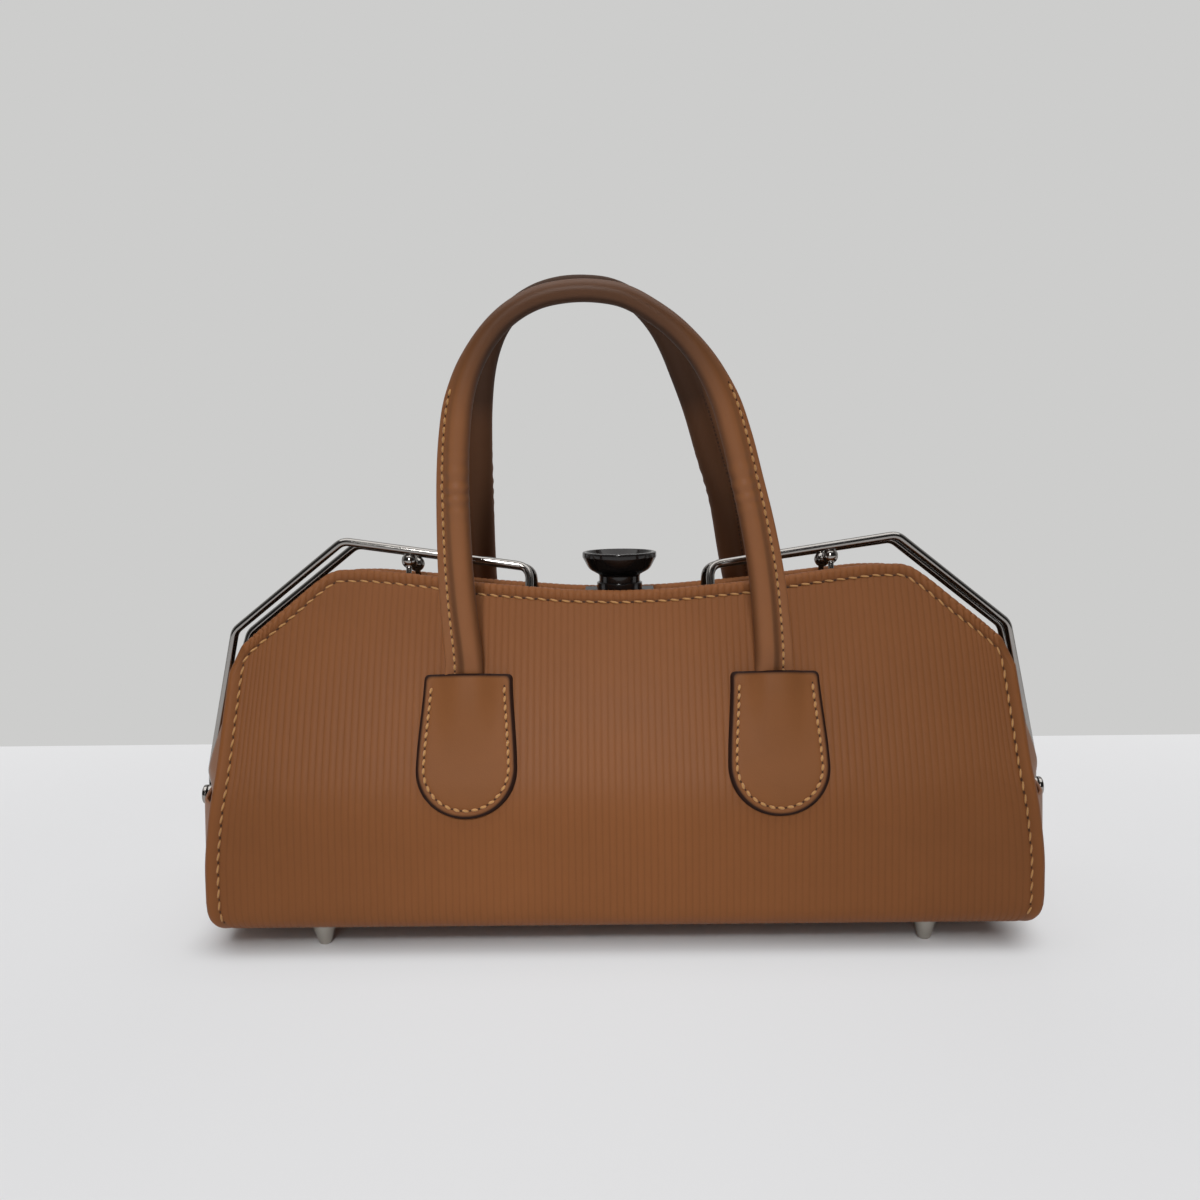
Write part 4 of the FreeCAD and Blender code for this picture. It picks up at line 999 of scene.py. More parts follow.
def ribbed_panel(side, sizes):
    """One panel with its grooves, stitch channel and rolled edge."""
    sign = SIDE[side]
    drop = DROP[side]
    roll = sizes.roll_radius / MM
    inset = sizes.stitch_inset / MM
    reach = WIDEST - roll
    flat, groove = panel_columns(reach, sizes.rib_pitch / MM)
    lean = np.sign(flat) * ease((np.abs(flat) - (reach - LEAN_SPAN)) / LEAN_SPAN)
    top_across = flat - lean * (WIDEST - half_width(np.array(LEAN_HEIGHT)))
    runs, heights = panel_rows(top_across, outline(drop, roll))
    across = flat - lean * (WIDEST - half_width(heights))
    margin = edge_margin(across, heights, drop)
    channel = bell(margin - inset, CHANNEL_WIDTH)
    # Share of the rolled edge, which gets deeper grooves and a painted highlight
    rim = ease((inset - margin) / RIM_FADE)
    bulge = SWELLING * bell(margin - roll, SWELLING_WIDTH) * ease((heights - 12) / 14)
    sag = sum(
        rise * np.sin(across / wide + shift) * np.sin(heights / tall) for rise, wide, shift, tall in SAG)
    calm = ease((heights - 20) / 20) * ease(margin / 12)
    pressed = groove * (0.8 + 0.2 * np.sin(across / 21 + 1.3) * np.sin(heights / 23 + across / 60))
    grooves = -sizes.groove_depth / MM * pressed * (1 + RIM_GROOVE * rim)
    lift = grooves - CHANNEL_DEPTH * channel + bulge + sag * calm
    # Painted shade in the grooves, more on the rolled edge, and in the stitch channel
    dark = GROOVE_SHADE * pressed * (1 + rim) + CHANNEL_SHADE * channel
    points = on_shell(sign, across, runs, lift)
    bm, column, row = grid(len(flat) - 1, len(heights) - 1)
    lay(bm, points[row, column], dark=dark[row, column], rim=rim[row, column])
    roll_edge(bm, sign, across, runs, points, row, column, roll)
    nodes = [f"{side}_panel", f"{side}_fold"] + (["base_wrap"] if side == "front" else [])
    return piece(
        f"{side}_ribbed_leather", bm, ["ribbed_leather"], nodes, (0, sign, 0), PANEL_MERGE)


def roll_edge(bm, sign, across, runs, points, row, column, roll):
    """Extrudes the sides and top of a panel round a roll and back down behind it."""
    rows, columns = across.shape
    ring = (
        [(index, 0) for index in range(rows)]
        + [(rows - 1, index) for index in range(1, columns)]
        + [(index, columns - 1) for index in range(rows - 2, -1, -1)])
    where = np.array(ring)
    plan = np.stack([across[where[:, 0], where[:, 1]], runs[where[:, 0], where[:, 1]]], axis=1)
    heading = unit(np.gradient(plan, axis=0))
    for _ in range(3):
        heading[1:-1] = unit(heading[:-2] + 2 * heading[1:-1] + heading[2:])
    ring_run = runs[where[:, 0], where[:, 1]]
    beyond = (
        -heading[:, 1:2] * np.array([1.0, 0, 0]) + heading[:, 0:1] * up_shell(sign, ring_run))
    out = out_of_shell(sign, ring_run)
    start = points[where[:, 0], where[:, 1]]
    seat = bm.verts.layers.int.new("seat")
    spot = {pair: index + 1 for index, pair in enumerate(ring)}
    for vert, pair in zip(bm.verts, zip(row, column)):
        vert[seat] = spot.get((int(pair[0]), int(pair[1])), 0)
    edges = [
        edge for edge in bm.edges
        if edge.is_boundary and all(vert[seat] for vert in edge.verts)]
    turns = [(math.radians(angle), 0.0) for angle in range(24, 181, 26)] + [(math.pi, 6.0)]
    for angle, back in turns:
        made = bmesh.ops.extrude_edge_only(bm, edges=edges)["geom"]
        edges = [part for part in made if isinstance(part, bmesh.types.BMEdge) and part.is_boundary]
        for vert in (part for part in made if isinstance(part, bmesh.types.BMVert)):
            index = vert[seat] - 1
            shift = (
                (roll * math.sin(angle) - back) * beyond[index] + roll * (math.cos(angle) - 1) * out[index])
            vert.co = Vector(start[index] + shift) * MM
        edges = [edge for edge in edges if all(vert[seat] for vert in edge.verts)]
    bm.verts.layers.int.remove(bm.verts.layers.int["seat"])


def panel_seam(side, sizes):
    """The stitches along a panel's sides and top."""
    sign = SIDE[side]
    drop = DROP[side]
    line = outline(drop, sizes.stitch_inset / MM + 0.45, 14.0)
    keep = line[:, 1] > 15
    line = line[keep]
    run = np.where(
        line[:, 1] > CORNER_HEIGHT, SHELL.run_at(line[:, 1]),
        np.interp(line[:, 1], SHELL.height[: SHELL.wall_start + 1], SHELL.run[: SHELL.wall_start + 1]))
    bm = bmesh.new()
    sew(bm, on_shell(sign, line[:, 0], run, -0.2), out_of_shell(sign, run), sizes.stitch_pitch / MM,
        PANEL_THREAD, SLANT * sign, hole=PANEL_HOLE)
    return piece(f"{side}_panel_stitches", bm, ["thread", "needle_hole"])


class BAG_OT_tabs(bpy.types.Operator):
    """Shield-shaped tabs with painted edges and their stitches"""

    bl_idname = "bag.tabs"
    bl_label = "Handle tabs"

    def execute(self, context):
        for side in SIDE:
            for end in END:
                for made in sewn_tab(side, end, context.scene.bag_sizes):
                    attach(made, f"{side}_jaw")
        return {"FINISHED"}


def tab_half(height):
    """Half width of a tab at a height."""
    down = (TAB_TOP - height) / (TAB_TOP - TAB_WIDE_HEIGHT)
    upper = TAB_TOP_HALF + (TAB_WIDE_HALF - TAB_TOP_HALF) * ease(down * 0.9 + 0.05)
    fall = np.clip((TAB_WIDE_HEIGHT - height) / (TAB_WIDE_HEIGHT - TAB_LOW), 0, 1)
    return np.where(height > TAB_WIDE_HEIGHT, upper, TAB_WIDE_HALF * np.sqrt(1 - fall ** 2))


def tab_outline(inset, count):
    """A tab's outline at an inset, from the top middle round to the top middle."""
    sides = np.linspace(TAB_TOP - 1.4, TAB_WIDE_HEIGHT, 60)
    sweep = np.linspace(0, math.pi / 2, 60)[1:]
    right = np.concatenate([
        [(0, TAB_TOP), (TAB_TOP_HALF - 1.5, TAB_TOP), (TAB_TOP_HALF - 0.5, TAB_TOP - 0.4)],
        np.stack([tab_half(sides), sides], axis=1),
        np.stack([
            TAB_WIDE_HALF * np.cos(sweep),
            TAB_WIDE_HEIGHT - (TAB_WIDE_HEIGHT - TAB_LOW) * np.sin(sweep)], axis=1)])
    line = even(np.concatenate([right, right[-2::-1] * (-1, 1)]), count)
    heading = np.gradient(line, axis=0)
    heading[0] = heading[-1] = (1, 0)
    heading = unit(heading)
    moved = line + inset * np.stack([heading[:, 1], -heading[:, 0]], axis=1)
    moved[:, 1] = np.minimum(moved[:, 1], TAB_TOP - inset)
    widest = np.maximum(tab_half(np.maximum(moved[:, 1], TAB_WIDE_HEIGHT)) - inset, 0)
    moved[:, 0] = np.clip(moved[:, 0], -widest, widest)
    return moved


def tab_margin(across, height):
    """Distance from a tab's sides and round end."""
    drop = np.maximum(TAB_WIDE_HEIGHT - height, 0) * TAB_WIDE_HALF / (TAB_WIDE_HEIGHT - TAB_LOW)
    return np.where(height > TAB_WIDE_HEIGHT, tab_half(height), TAB_WIDE_HALF) - np.hypot(across, drop)


def tab_swell(across, height):
    """Rise of a tab over the handle end under it."""
    ridge = TAB_SWELL * np.exp(-(np.abs(across) / TAB_SWELL_HALF) ** 3.0)
    return ridge * ease((height - TAB_SWELL_LOW) / TAB_SWELL_SPAN) ** 1.4


def sewn_tab(side, end, sizes):
    """One tab and its stitches."""
    sign = SIDE[side]
    middle = TAB_X * END[end]
    heart = np.array(TAB_HEART)
    edge = tab_outline(0.0, TAB_POINTS)
    lines = [
        heart + (edge - heart) * (1 - inset / TAB_WIDE_HALF, 1 - inset / TAB_REACH)
        for inset, _ in TAB_RINGS]
    shares = np.linspace(0.95, 0, TAB_INNER_RINGS)
    lines = np.array(lines + [heart + (lines[-1] - heart) * share for share in shares])
    rises = np.array([rise for _, rise in TAB_RINGS] + [TAB_RISE] * len(shares))[:, None]
    swell = tab_swell(lines[:, :, 0], lines[:, :, 1])
    sewn = bell(tab_margin(lines[:, :, 0], lines[:, :, 1]) - TAB_STITCH, 0.7)
    sewn = sewn * ease((TAB_TOP - 3 - lines[:, :, 1]) / 2)
    rises = rises + swell * np.where(np.arange(len(lines)) > 0, 1, 0)[:, None] - TAB_CHANNEL * sewn
    paint = np.zeros_like(rises)
    paint[:5] = 1
    paint[5] = 0.35
    bm, column, row = grid(TAB_POINTS - 1, len(lines) - 1)
    run = SHELL.run_at(lines[:, :, 1]) - 0.22 * swell * ease((lines[:, :, 1] - 92) / 16)
    points = on_shell(sign, middle + lines[:, :, 0], run, rises)
    lay(bm, points[row, column], paint=paint[row, column])
    word = f"{side}_{end}"
    tab = piece(
        f"{word}_sewn_tab", bm, ["tab_leather"], [f"{word}_tab"], (0, sign, 0), TAB_MERGE)
    seam = tab_outline(TAB_STITCH, 400)
    seam = seam[seam[:, 1] < TAB_TOP - 4.2]
    run = SHELL.run_at(seam[:, 1])
    bm = bmesh.new()
    line = on_shell(sign, middle + seam[:, 0], run, 2.2 + tab_swell(seam[:, 0], seam[:, 1]))
    sew(bm, line, out_of_shell(sign, run), sizes.fine_stitch_pitch / MM, TAB_THREAD, SLANT * sign)
    return tab, piece(f"{word}_tab_stitches", bm, ["thread", "needle_hole"])


class BAG_OT_handles(bpy.types.Operator):
    """Rolled handles with a stitched flange on the legs, bending at the tabs"""

    bl_idname = "bag.handles"
    bl_label = "Rolled handles"

    def execute(self, context):
        for side in SIDE:
            for made in rolled_handle(side, context.scene.bag_sizes):
                start, end = ((0, 0, height) for height in HANDLE_BEND)
                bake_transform(made, f"{side}_jaw", f"{side}_handle", start=start, end=end)
        return {"FINISHED"}


def handle_line(side, count):
    """Centre line of a handle from inside one tab to inside the other."""
    sign = SIDE[side]
    flat = np.array(FRONT_HANDLE if side == "front" else REAR_HANDLE)
    lean = math.tan(math.radians(HANDLE_LEAN[side]))
    over = np.stack([
        flat[:, 0], sign * (HANDLE_AXIS_Y + lean * (flat[:, 1] - HANDLE_AXIS_Z)), flat[:, 1]], axis=1)
    neck = []
    for foot in (over[0], over[-1]):
        root = math.copysign(TAB_X, foot[0])
        neck.append([
            (root * (1 - share) + foot[0] * share, sign * (wall_depth(np.array(height)) + lift), height)
            for height, lift, share in HANDLE_NECK])
    return spline(np.concatenate([neck[0], over, neck[1][::-1]]), count)


def handle_section(radius, flange):
    """Angles round a handle, their turns from the flange's tip, and the plain and the flanged section."""
    angles = np.linspace(0, 2 * math.pi, HANDLE_SIDES + 1)
    circle = np.stack([np.cos(angles), np.sin(angles)], axis=1) * radius
    swing = np.degrees(np.angle(np.exp(1j * angles))) / FLANGE_REACH
    near = np.abs(swing) < 1
    turn = swing[near]
    tip = radius + flange
    flanged = circle.copy()
    flanged[near, 0] = np.interp(np.abs(turn), FLANGE_TURN, [
        tip, tip - 0.12, tip - 0.7, radius + flange * 0.55, radius + flange * 0.3, radius + 0.25,
        radius * 0.62])
    flanged[near, 1] = np.sign(turn) * np.interp(np.abs(turn), FLANGE_TURN, [
        0, FLANGE_HALF * 0.6, FLANGE_HALF * 0.95, FLANGE_HALF * 1.05, FLANGE_HALF * 0.98, FLANGE_HALF * 1.1,
        radius * 0.8])
    return angles, swing, circle, flanged


def handle_marks(angles, swing, height, leg):
    """Painted shade and dullness of a handle at its upper arch, inner face, flange root and the inside of its
    loop.
    """
    inner = ease(-np.sin(angles) * 1.6)[None] * ease((height - 112) / 20)[:, None]
    crease = bell(np.abs(swing) - 0.95, 0.17)[None] * leg[:, None]
    turned_in = ease(-np.cos(angles) * 1.4 - 0.5)[None] * (1 - inner)
    matte = INNER_SHADE * inner + ROOT_SHADE * crease * (1 - inner) + LOOP_SHADE * turned_in
    held = np.minimum(ARCH_PAINTED_SHADE * ease((height - 208) / 44)[:, None] + matte, MOST_SHADE)
    return held, matte


def rolled_handle(side, sizes):
    """One handle and the stitches of its flange."""
    sign = SIDE[side]
    radius = sizes.handle_radius / MM
    line = handle_line(side, HANDLE_STEPS)
    heading = unit(np.gradient(line, axis=0))
    lean = math.radians(HANDLE_LEAN[side])
    face = np.array([0, sign * math.cos(lean), -math.sin(lean)])
    outward = unit(np.cross(np.broadcast_to(face, heading.shape), heading)) * -sign
    facing = unit(np.cross(heading, outward)) * -sign
    height = line[:, 2]
    leg = through(FLANGE_FADE[side], height)
    angles, swing, circle, flanged = handle_section(radius, sizes.flange_width / MM)
    ring = circle[None] + (flanged - circle)[None] * leg[:, None, None]
    ring = ring * through(TUBE_FADE, height)[:, None, None]
    waves = np.sin(height * 1.15 + 0.8 * np.sin(height * 0.31))
    wrinkle = WRINKLE * waves * bell(height - WRINKLE_HEIGHT, WRINKLE_SPREAD)
    creased = ease(np.sin(angles) * 1.5 - 0.5 * np.cos(angles))
    ring = ring * (1 + (wrinkle / radius)[:, None, None] * creased[None, :, None])
    flat = ease((123 - height) / 13)
    ring[:, :, 1] *= (1 - 0.52 * flat - 0.3 * ease((108 - height) / 12))[:, None]
    ring[:, :, 0] *= (1 - 0.3 * ease((110 - height) / 14))[:, None]
    points = line[:, None] + ring[:, :, :1] * outward[:, None] + ring[:, :, 1:] * facing[:, None]
    # The handle's points carry its painted shade, which also dulls it
    held, matte = handle_marks(angles, swing, height, leg)
    bm, column, row = grid(HANDLE_SIDES, HANDLE_STEPS - 1)
    lay(bm, points[row, column], grip=held[row, column], matte=matte[row, column])
    close_ends(bm)
    nodes = [f"{side}_handle", f"{side}_left_handle_end", f"{side}_right_handle_end"]
    handle = piece(f"{side}_rolled_handle", bm, ["smooth_leather"], nodes)
    seams = handle_seams(side, points, height, facing, swing, sizes.fine_stitch_pitch / MM)
    return handle, seams


def handle_seams(side, points, height, facing, swing, pitch):
    """Stitches on the outer face of a handle's flange and dark dots of painted shade on its inner face."""
    bm = bmesh.new()
    middle = HANDLE_STEPS // 2
    for half in (slice(0, middle), slice(middle, HANDLE_STEPS)):
        # On the inner face, dark dots of painted shade stand in place of thread
        for way, size, index in ((-1.0, FLANGE_MARK, 1), (1.0, FLANGE_THREAD, 0)):
            seat = np.argmin(np.abs(swing - way * FLANGE_STITCH))
            chosen = (height[half] > FLANGE_SEWN[0]) & (height[half] < FLANGE_SEWN[1])
            sew(bm, points[half, seat][chosen], way * facing[half][chosen], pitch, size, index=index)
    return piece(f"{side}_handle_stitches", bm, ["thread", "needle_hole"])


class BAG_OT_gussets(bpy.types.Operator):
    """Soft side walls: a lower piece on the base and two upper halves that open with the jaws"""

    bl_idname = "bag.gussets"
    bl_label = "Side gussets"

    def execute(self, context):
        for end in END:
            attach(lower_gusset(end), "base")
            for side in SIDE:
                made = upper_gusset(end, side)
                start, end_at = ((0, SIDE[side] * depth, 0) for depth in (0.002, 0.034))
                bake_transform(made, "base", f"{side}_jaw", start=start, end=end_at)
        return {"FINISHED"}


def gusset_half(height):
    """Half depth of a gusset at a height."""
    return through(GUSSET_HALF, height)


def gusset_out(share, height):
    """Outward reach of a gusset from the bag's middle, at a share of its depth."""
    edge = through(GUSSET_EDGE, height)
    return edge + through(GUSSET_SWELL, height) * (1 - np.abs(share) ** 2.6)


def tucked(reach, height, gap, share):
    """A gusset's reach, held inside the panel's edge by a gap, by a share."""
    return reach + np.minimum(half_width(height) - gap - reach, 0) * share


def lower_gusset(end):
    """The lower part of one gusset, from its turned-in bottom edge to the hem at the hinge."""
    columns = 80
    middle = ((height, 0) for height in np.linspace(20, GUSSET_HEM - 1, GUSSET_FLAT_ROWS))
    heights, pull = np.array([*GUSSET_TURN, *middle, *GUSSET_FOLD]).T
    bm, column, row = grid(columns, len(heights) - 1)
    share = (column / columns) * 2 - 1
    height = heights[row]
    crease = 0.5 * bell(share, 0.05) * ease((height - 56) / 6)
    reach = gusset_out(share, height) - pull[row] * (1 - 0.5 * np.abs(share) ** 4) - crease
    reach = tucked(reach, height, 0.8, ease((np.abs(share) - 0.6) / 0.4))
    ripple = 0.25 * np.sin(share * 9 + height / 15) * (1 - share ** 2)
    points = np.stack([END[end] * (reach + ripple), share * gusset_half(height), height], axis=1)
    lay(bm, points)
    return piece(
        f"{end}_lower_gusset", bm, ["smooth_leather"], [f"{end}_gusset"], (END[end], 0, 0))


def upper_gusset(end, side):
    """One upper half of a gusset, tucked inside the lower part."""
    columns, rows = 40, 40
    bm, column, row = grid(columns, rows)
    share = column / columns
    top = GUSSET_TOP - 9 * bell(share, 0.45)
    height = GUSSET_LOW + (top - GUSSET_LOW) * (row / rows)
    fold = 1.2 * bell(share - 0.5, 0.2) * ease((height - 66) / 30)
    reach = gusset_out(share, height) - 2.0 * ease((72 - height) / 10) - 0.5 - fold
    reach = tucked(reach, height, 1.4, ease((share - 0.5) / 0.5))
    points = np.stack([END[end] * reach, SIDE[side] * share * gusset_half(height), height], axis=1)
    lay(bm, points)
    return piece(
        f"{side}_{end}_upper_gusset", bm, ["smooth_leather"], (), (END[end], 0, 0))


class BAG_OT_lining(bpy.types.Operator):
    """Woven lining of the floor and the jaws"""

    bl_idname = "bag.lining"
    bl_label = "Lining"

    def execute(self, context):
        for side in SIDE:
            bend_with_jaw(sewn_lining(side), side, *LINING_BEND)
        return {"FINISHED"}


def sewn_lining(side):
    """Half of the lining, from the middle of the floor to below the frame strip."""
    sign = SIDE[side]
    drop = DROP[side]
    columns, rows = 120, 60
    bm, column, row = grid(columns, rows)
    share = column / columns * 2 - 1
    level = row / rows
    low_run = level / LINING_SPLIT * SHELL.run_at(SCALED_FROM)
    low_height = SHELL.at(low_run)[1]
    half = LINING_HALF + 8 * ease((24 - low_height) / 8) * (level < 0.3)
    across = share * half
    top = top_edge(across, drop) - 14 - 5 * ease((np.abs(across) - 100) / 30)
    high = SCALED_FROM + (top - SCALED_FROM) * (level - LINING_SPLIT) / (1 - LINING_SPLIT)
    height = np.where(level > LINING_SPLIT, high, low_height)
    run = np.where(level > LINING_SPLIT, SHELL.run_at(high), low_run)
    floor = ease((30 - height) / 16)
    soft = 0.5 * np.sin(across / 13 + height / 21) * np.sin(across / 37) * ease((height - 30) / 20)
    points = on_shell(sign, across, run, -3.4 - 2.0 * floor - np.abs(soft))
    lay(bm, points)
    nodes = [f"{side}_lining"] + (["base_lining"] if side == "front" else [])
    return piece(f"{side}_sewn_lining", bm, ["lining_cloth"], nodes, (0, -sign, 0))


class BAG_OT_wires(bpy.types.Operator):
    """Bent wire arms of the frame with their hinge eyes"""

    bl_idname = "bag.wires"
    bl_label = "Frame wires"

    def execute(self, context):
        for side in SIDE:
            for end in END:
                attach(frame_wire(side, end, context.scene.bag_sizes.wire_radius / MM), f"{side}_jaw")
        return {"FINISHED"}


def rounded(corners, radii, steps=10):
    """A run of straight lines with its corners rounded."""
    knots = np.array(corners, float)
    line = [knots[0]]
    radii = np.broadcast_to(radii, len(knots) - 2)
    for before, corner, after, radius in zip(knots[:-2], knots[1:-1], knots[2:], radii):
        back = unit(before - corner)
        ahead = unit(after - corner)
        half = math.acos(np.clip(-back @ ahead, -1, 1)) / 2
        shorter = min(np.linalg.norm(before - corner), np.linalg.norm(after - corner))
        cut = min(radius * math.tan(half), 0.45 * shorter)
        for share in np.linspace(0, 1, steps):
            line.append(corner + back * cut * (1 - share) ** 2 + ahead * cut * share ** 2)
    line.append(knots[-1])
    return np.array(line)


def close_ends(bm):
    """Joins a rolled-up grid's long edges and fills its two ends."""
    bmesh.ops.remove_doubles(bm, verts=bm.verts, dist=MERGE)
    bmesh.ops.holes_fill(bm, edges=[edge for edge in bm.edges if edge.is_boundary])


def tube(line, radii, sides=20):
    """A closed round bar along a line."""
    heading = unit(np.gradient(line, axis=0))
    normal = unit(np.cross(heading[0], (0.3, 1.0, 0.2)))
    normals = []
    for direction in heading:
        normal = unit(normal - direction * (normal @ direction))
        normals.append(normal)
    normals = np.array(normals)
    others = np.cross(heading, normals)
    bm, column, row = grid(sides, len(line) - 1)
    angle = (column / sides * 2 * math.pi)[:, None]
    spread = np.broadcast_to(radii, len(line))[row][:, None]
    lay(bm, line[row] + spread * (np.cos(angle) * normals[row] + np.sin(angle) * others[row]))
    close_ends(bm)
    return bm


def lathe(profile, centre, axis, steps=48):
    """A turned shape from (radius, height) points round an axis through a centre."""
    bm = bmesh.new()
    side = Vector((0, 1, 0)) if abs(axis[0]) > 0.5 else Vector((1, 0, 0))
    verts = [
        bm.verts.new((Vector(centre) + side * radius + Vector(axis) * height) * MM)
        for radius, height in profile]
    edges = [bm.edges.new(pair) for pair in zip(verts[:-1], verts[1:])]
    bmesh.ops.spin(
        bm, geom=verts + edges, cent=Vector(centre) * MM, axis=axis, angle=2 * math.pi, steps=steps,
        use_merge=True)
    bmesh.ops.remove_doubles(bm, verts=bm.verts, dist=MERGE)
    bmesh.ops.recalc_face_normals(bm, faces=bm.faces)
    return bm


def join(bm, *others):
    """Adds other meshes to a mesh."""
    for other in others:
        bmesh.ops.recalc_face_normals(other, faces=other.faces)
        held = bpy.data.meshes.new("held")
        other.to_mesh(held)
        other.free()
        bm.from_mesh(held)
        bpy.data.meshes.remove(held)
    return bm


def frame_wire(side, end, radius):
    """One wire arm, from its stub on the frame strip to the hinge eye."""
    sign, way = SIDE[side], END[end]
    drop = DROP[side]
    foot, shift = WIRE_FOOT[side], WIRE_SHIFT[side]
    strip = [sign * (float(wall_depth(np.array(height - drop))) - WIRE_BEHIND) for height in WIRE_STRIP]
    corners = [
        (way * WIRE_STUB, strip[0], WIRE_LOW - drop), (way * WIRE_STUB, strip[1], WIRE_STRIP[1] - drop),
        *((way * across + shift, sign * depth, height - drop) for across, depth, height in WIRE_CORNERS),
        *((way * foot, sign * depth, height) for depth, height in WIRE_END)]
    line = even(rounded(corners, WIRE_BEND), 220)
    bm = tube(line, radius * (1 - 0.3 * ease((60 - line[:, 2]) / 8)))
    join(bm, lathe(EYE, (way * foot, 0, HINGE_HEIGHT), (way, 0, 0), 40))
    word = f"{side}_{end}"
    return metal_piece(f"{word}_wire_arm", bm, "gunmetal", f"{word}_wire")


def turned(name, corners, radii, centre, axis, word, steps=48):
    """A turned metal part from the corners of its profile as (radius, height)."""
    profile = rounded(corners, radii, 7)
    return metal_piece(f"turned_{name}", lathe(profile, centre, axis, steps), word, name)


class BAG_OT_lock(bpy.types.Operator):
    """Press knob with its dished bowl, the sleeve round its neck, the return spring and the latch leaf"""

    bl_idname = "bag.lock"
    bl_label = "Lock knob"

    def execute(self, context):
        middle, up = (0, 0, 0), (0, 0, 1)
        knob = turned("lock_knob", KNOB, KNOB_ROUND, middle, up, "black_plating", 72)
        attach(knob, "knob")
        sleeve = turned("lock_sleeve", SLEEVE, SLEEVE_ROUND, middle, up, "black_plating", 64)
        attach(sleeve, "rear_jaw")
        turn = np.linspace(0, 2 * SPRING_TURNS * math.pi, 120)
        line = np.stack([
            SPRING_RADIUS * np.cos(turn), SPRING_RADIUS * np.sin(turn), np.linspace(*SPRING_SPAN, len(turn))],
            axis=1)
        wire = tube(line, SPRING_WIRE, 8)
        spring = metal_piece("coiled_knob_spring", wire, "steel", "knob_spring")
        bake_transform(spring, "rear_jaw", "knob", start=(0, 0, 0.1395), end=(0, 0, 0.1462))
        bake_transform(latch_leaf(), "rear_jaw", "knob", start=(0, 0.022, 0), end=(0, 0.0035, 0))
        return {"FINISHED"}


def latch_leaf():
    """A thin sprung strip with its hook turned up, which bends as the knob is pressed."""
    line = even(rounded(LEAF_LINE, 0.8), 60)
    bm, column, row = grid(len(line) - 1, 1)
    lay(bm, np.stack([LEAF_HALF * (2 * row - 1), line[column, 0], line[column, 1]], axis=1))
    face_out(bm, (0, 0, -1))
    bmesh.ops.solidify(bm, geom=bm.faces[:], thickness=LEAF_THICK * MM)
    return metal_piece("sprung_latch_leaf", bm, "blackened_steel", "latch_leaf")


class BAG_OT_studs(bpy.types.Operator):
    """Feet, ball studs, hinge plates, hinge pins and rivets"""

    bl_idname = "bag.studs"
    bl_label = "Studs and feet"

    def execute(self, context):
        for end, way in END.items():
            for side, sign in SIDE.items():
                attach(ball_stud(side, end), f"{side}_jaw")
                place = (way * FOOT_PLACE[0], sign * FOOT_PLACE[1], 0)
                foot = turned(
                    f"{side}_{end}_foot", FOOT, FOOT_ROUND, place, (0, 0, 1), "nickel")
                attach(foot, "base")
            pin = side_stud(f"{end}_hinge_pin", PIN, PIN_ROUND, HINGE_HEIGHT, way)
            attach(pin, "base")
            for level, height in RIVET_HEIGHT.items():
                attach(side_stud(f"{end}_{level}_rivet", RIVET, RIVET_ROUND, height, way), "base")
            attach(hinge_plate(end), "base")
        return {"FINISHED"}


def side_stud(name, profile, rounds, height, way):
    """A turned stud that points out of the side of the bag at a height."""
    return turned(name, profile, rounds, (0, 0, height), (way, 0, 0), "gunmetal")


def ball_stud(side, end):
    """A ball on its shank, which leans along the frame strip."""
    radius, shank = BALL_RADIUS, SHANK_RADIUS
    low, high = (np.array(corner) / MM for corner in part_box(f"{side}_{end}_ball"))
    near = high[1] - radius if side == "front" else low[1] + radius
    far = low[1] + shank if side == "front" else high[1] - shank
    ball = np.array([(low[0] + high[0]) / 2, near, high[2] - radius])
    root = np.array([ball[0], far, low[2] + shank])
    reach = np.linalg.norm(ball - root)
    bow = np.radians(np.linspace(-62, 90, 22))
    profile = [(0, -reach), (shank, -reach), (shank, -radius - 0.6), (shank + 0.15, -radius - 0.1)]
    profile += [(radius * math.cos(angle), radius * math.sin(angle)) for angle in bow[:-1]] + [(0, radius)]
    bm = lathe(profile, ball, tuple(unit(ball - root)))
    word = f"{side}_{end}_ball"
    return metal_piece(f"turned_{word}", bm, "gunmetal", word)


def hinge_plate(end):
    """A round-ended plate with softened edges."""
    way = END[end]
    low, high = PLATE_SPAN
    bm = bmesh.new()
    bmesh.ops.create_circle(bm, cap_ends=True, segments=64, radius=PLATE_HALF)
    for vert in bm.verts:
        across, up = vert.co.x, vert.co.y
        level = high - PLATE_HALF if up > 0 else low + PLATE_HALF
        vert.co = Vector((way * PLATE_BACK, across, level + up)) * MM
    made = bmesh.ops.extrude_face_region(bm, geom=bm.faces[:])["geom"]
    moved = [part for part in made if isinstance(part, bmesh.types.BMVert)]
    bmesh.ops.translate(bm, verts=moved, vec=(way * PLATE_THICK * MM, 0, 0))
    bmesh.ops.recalc_face_normals(bm, faces=bm.faces)
    edges = [edge for edge in bm.edges if all(vert in moved for vert in edge.verts)]
    bmesh.ops.bevel(
        bm, geom=edges, offset=0.4 * MM, offset_type="OFFSET", affect="EDGES", segments=3, profile=0.5,
        material=-1)
    node = f"{end}_hinge_plate"
    return metal_piece(f"{end}_round_hinge_plate", bm, "gunmetal", node)


class BAG_OT_metal(bpy.types.Operator):
    """Finishes of the carried-over parts of the frame and the lock"""

    bl_idname = "bag.metal"
    bl_label = "Metal parts"

    def execute(self, context):
        for name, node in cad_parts.items():
            dress(node, node_finish(name))
        return {"FINISHED"}


def node_finish(name):
    """The finish of a carried-over part by its name."""
    if name in ("lock_plate", "lock_keeper"):
        return "blackened_steel"
    if name == "base_board":
        return "grey_board"
    return "steel"


def dress(node, word):
    """Gives a carried-over part its material."""
    if not node.material_slots:
        node.data.materials.append(finish(word))
    for held in node.material_slots:
        held.material = finish(word)


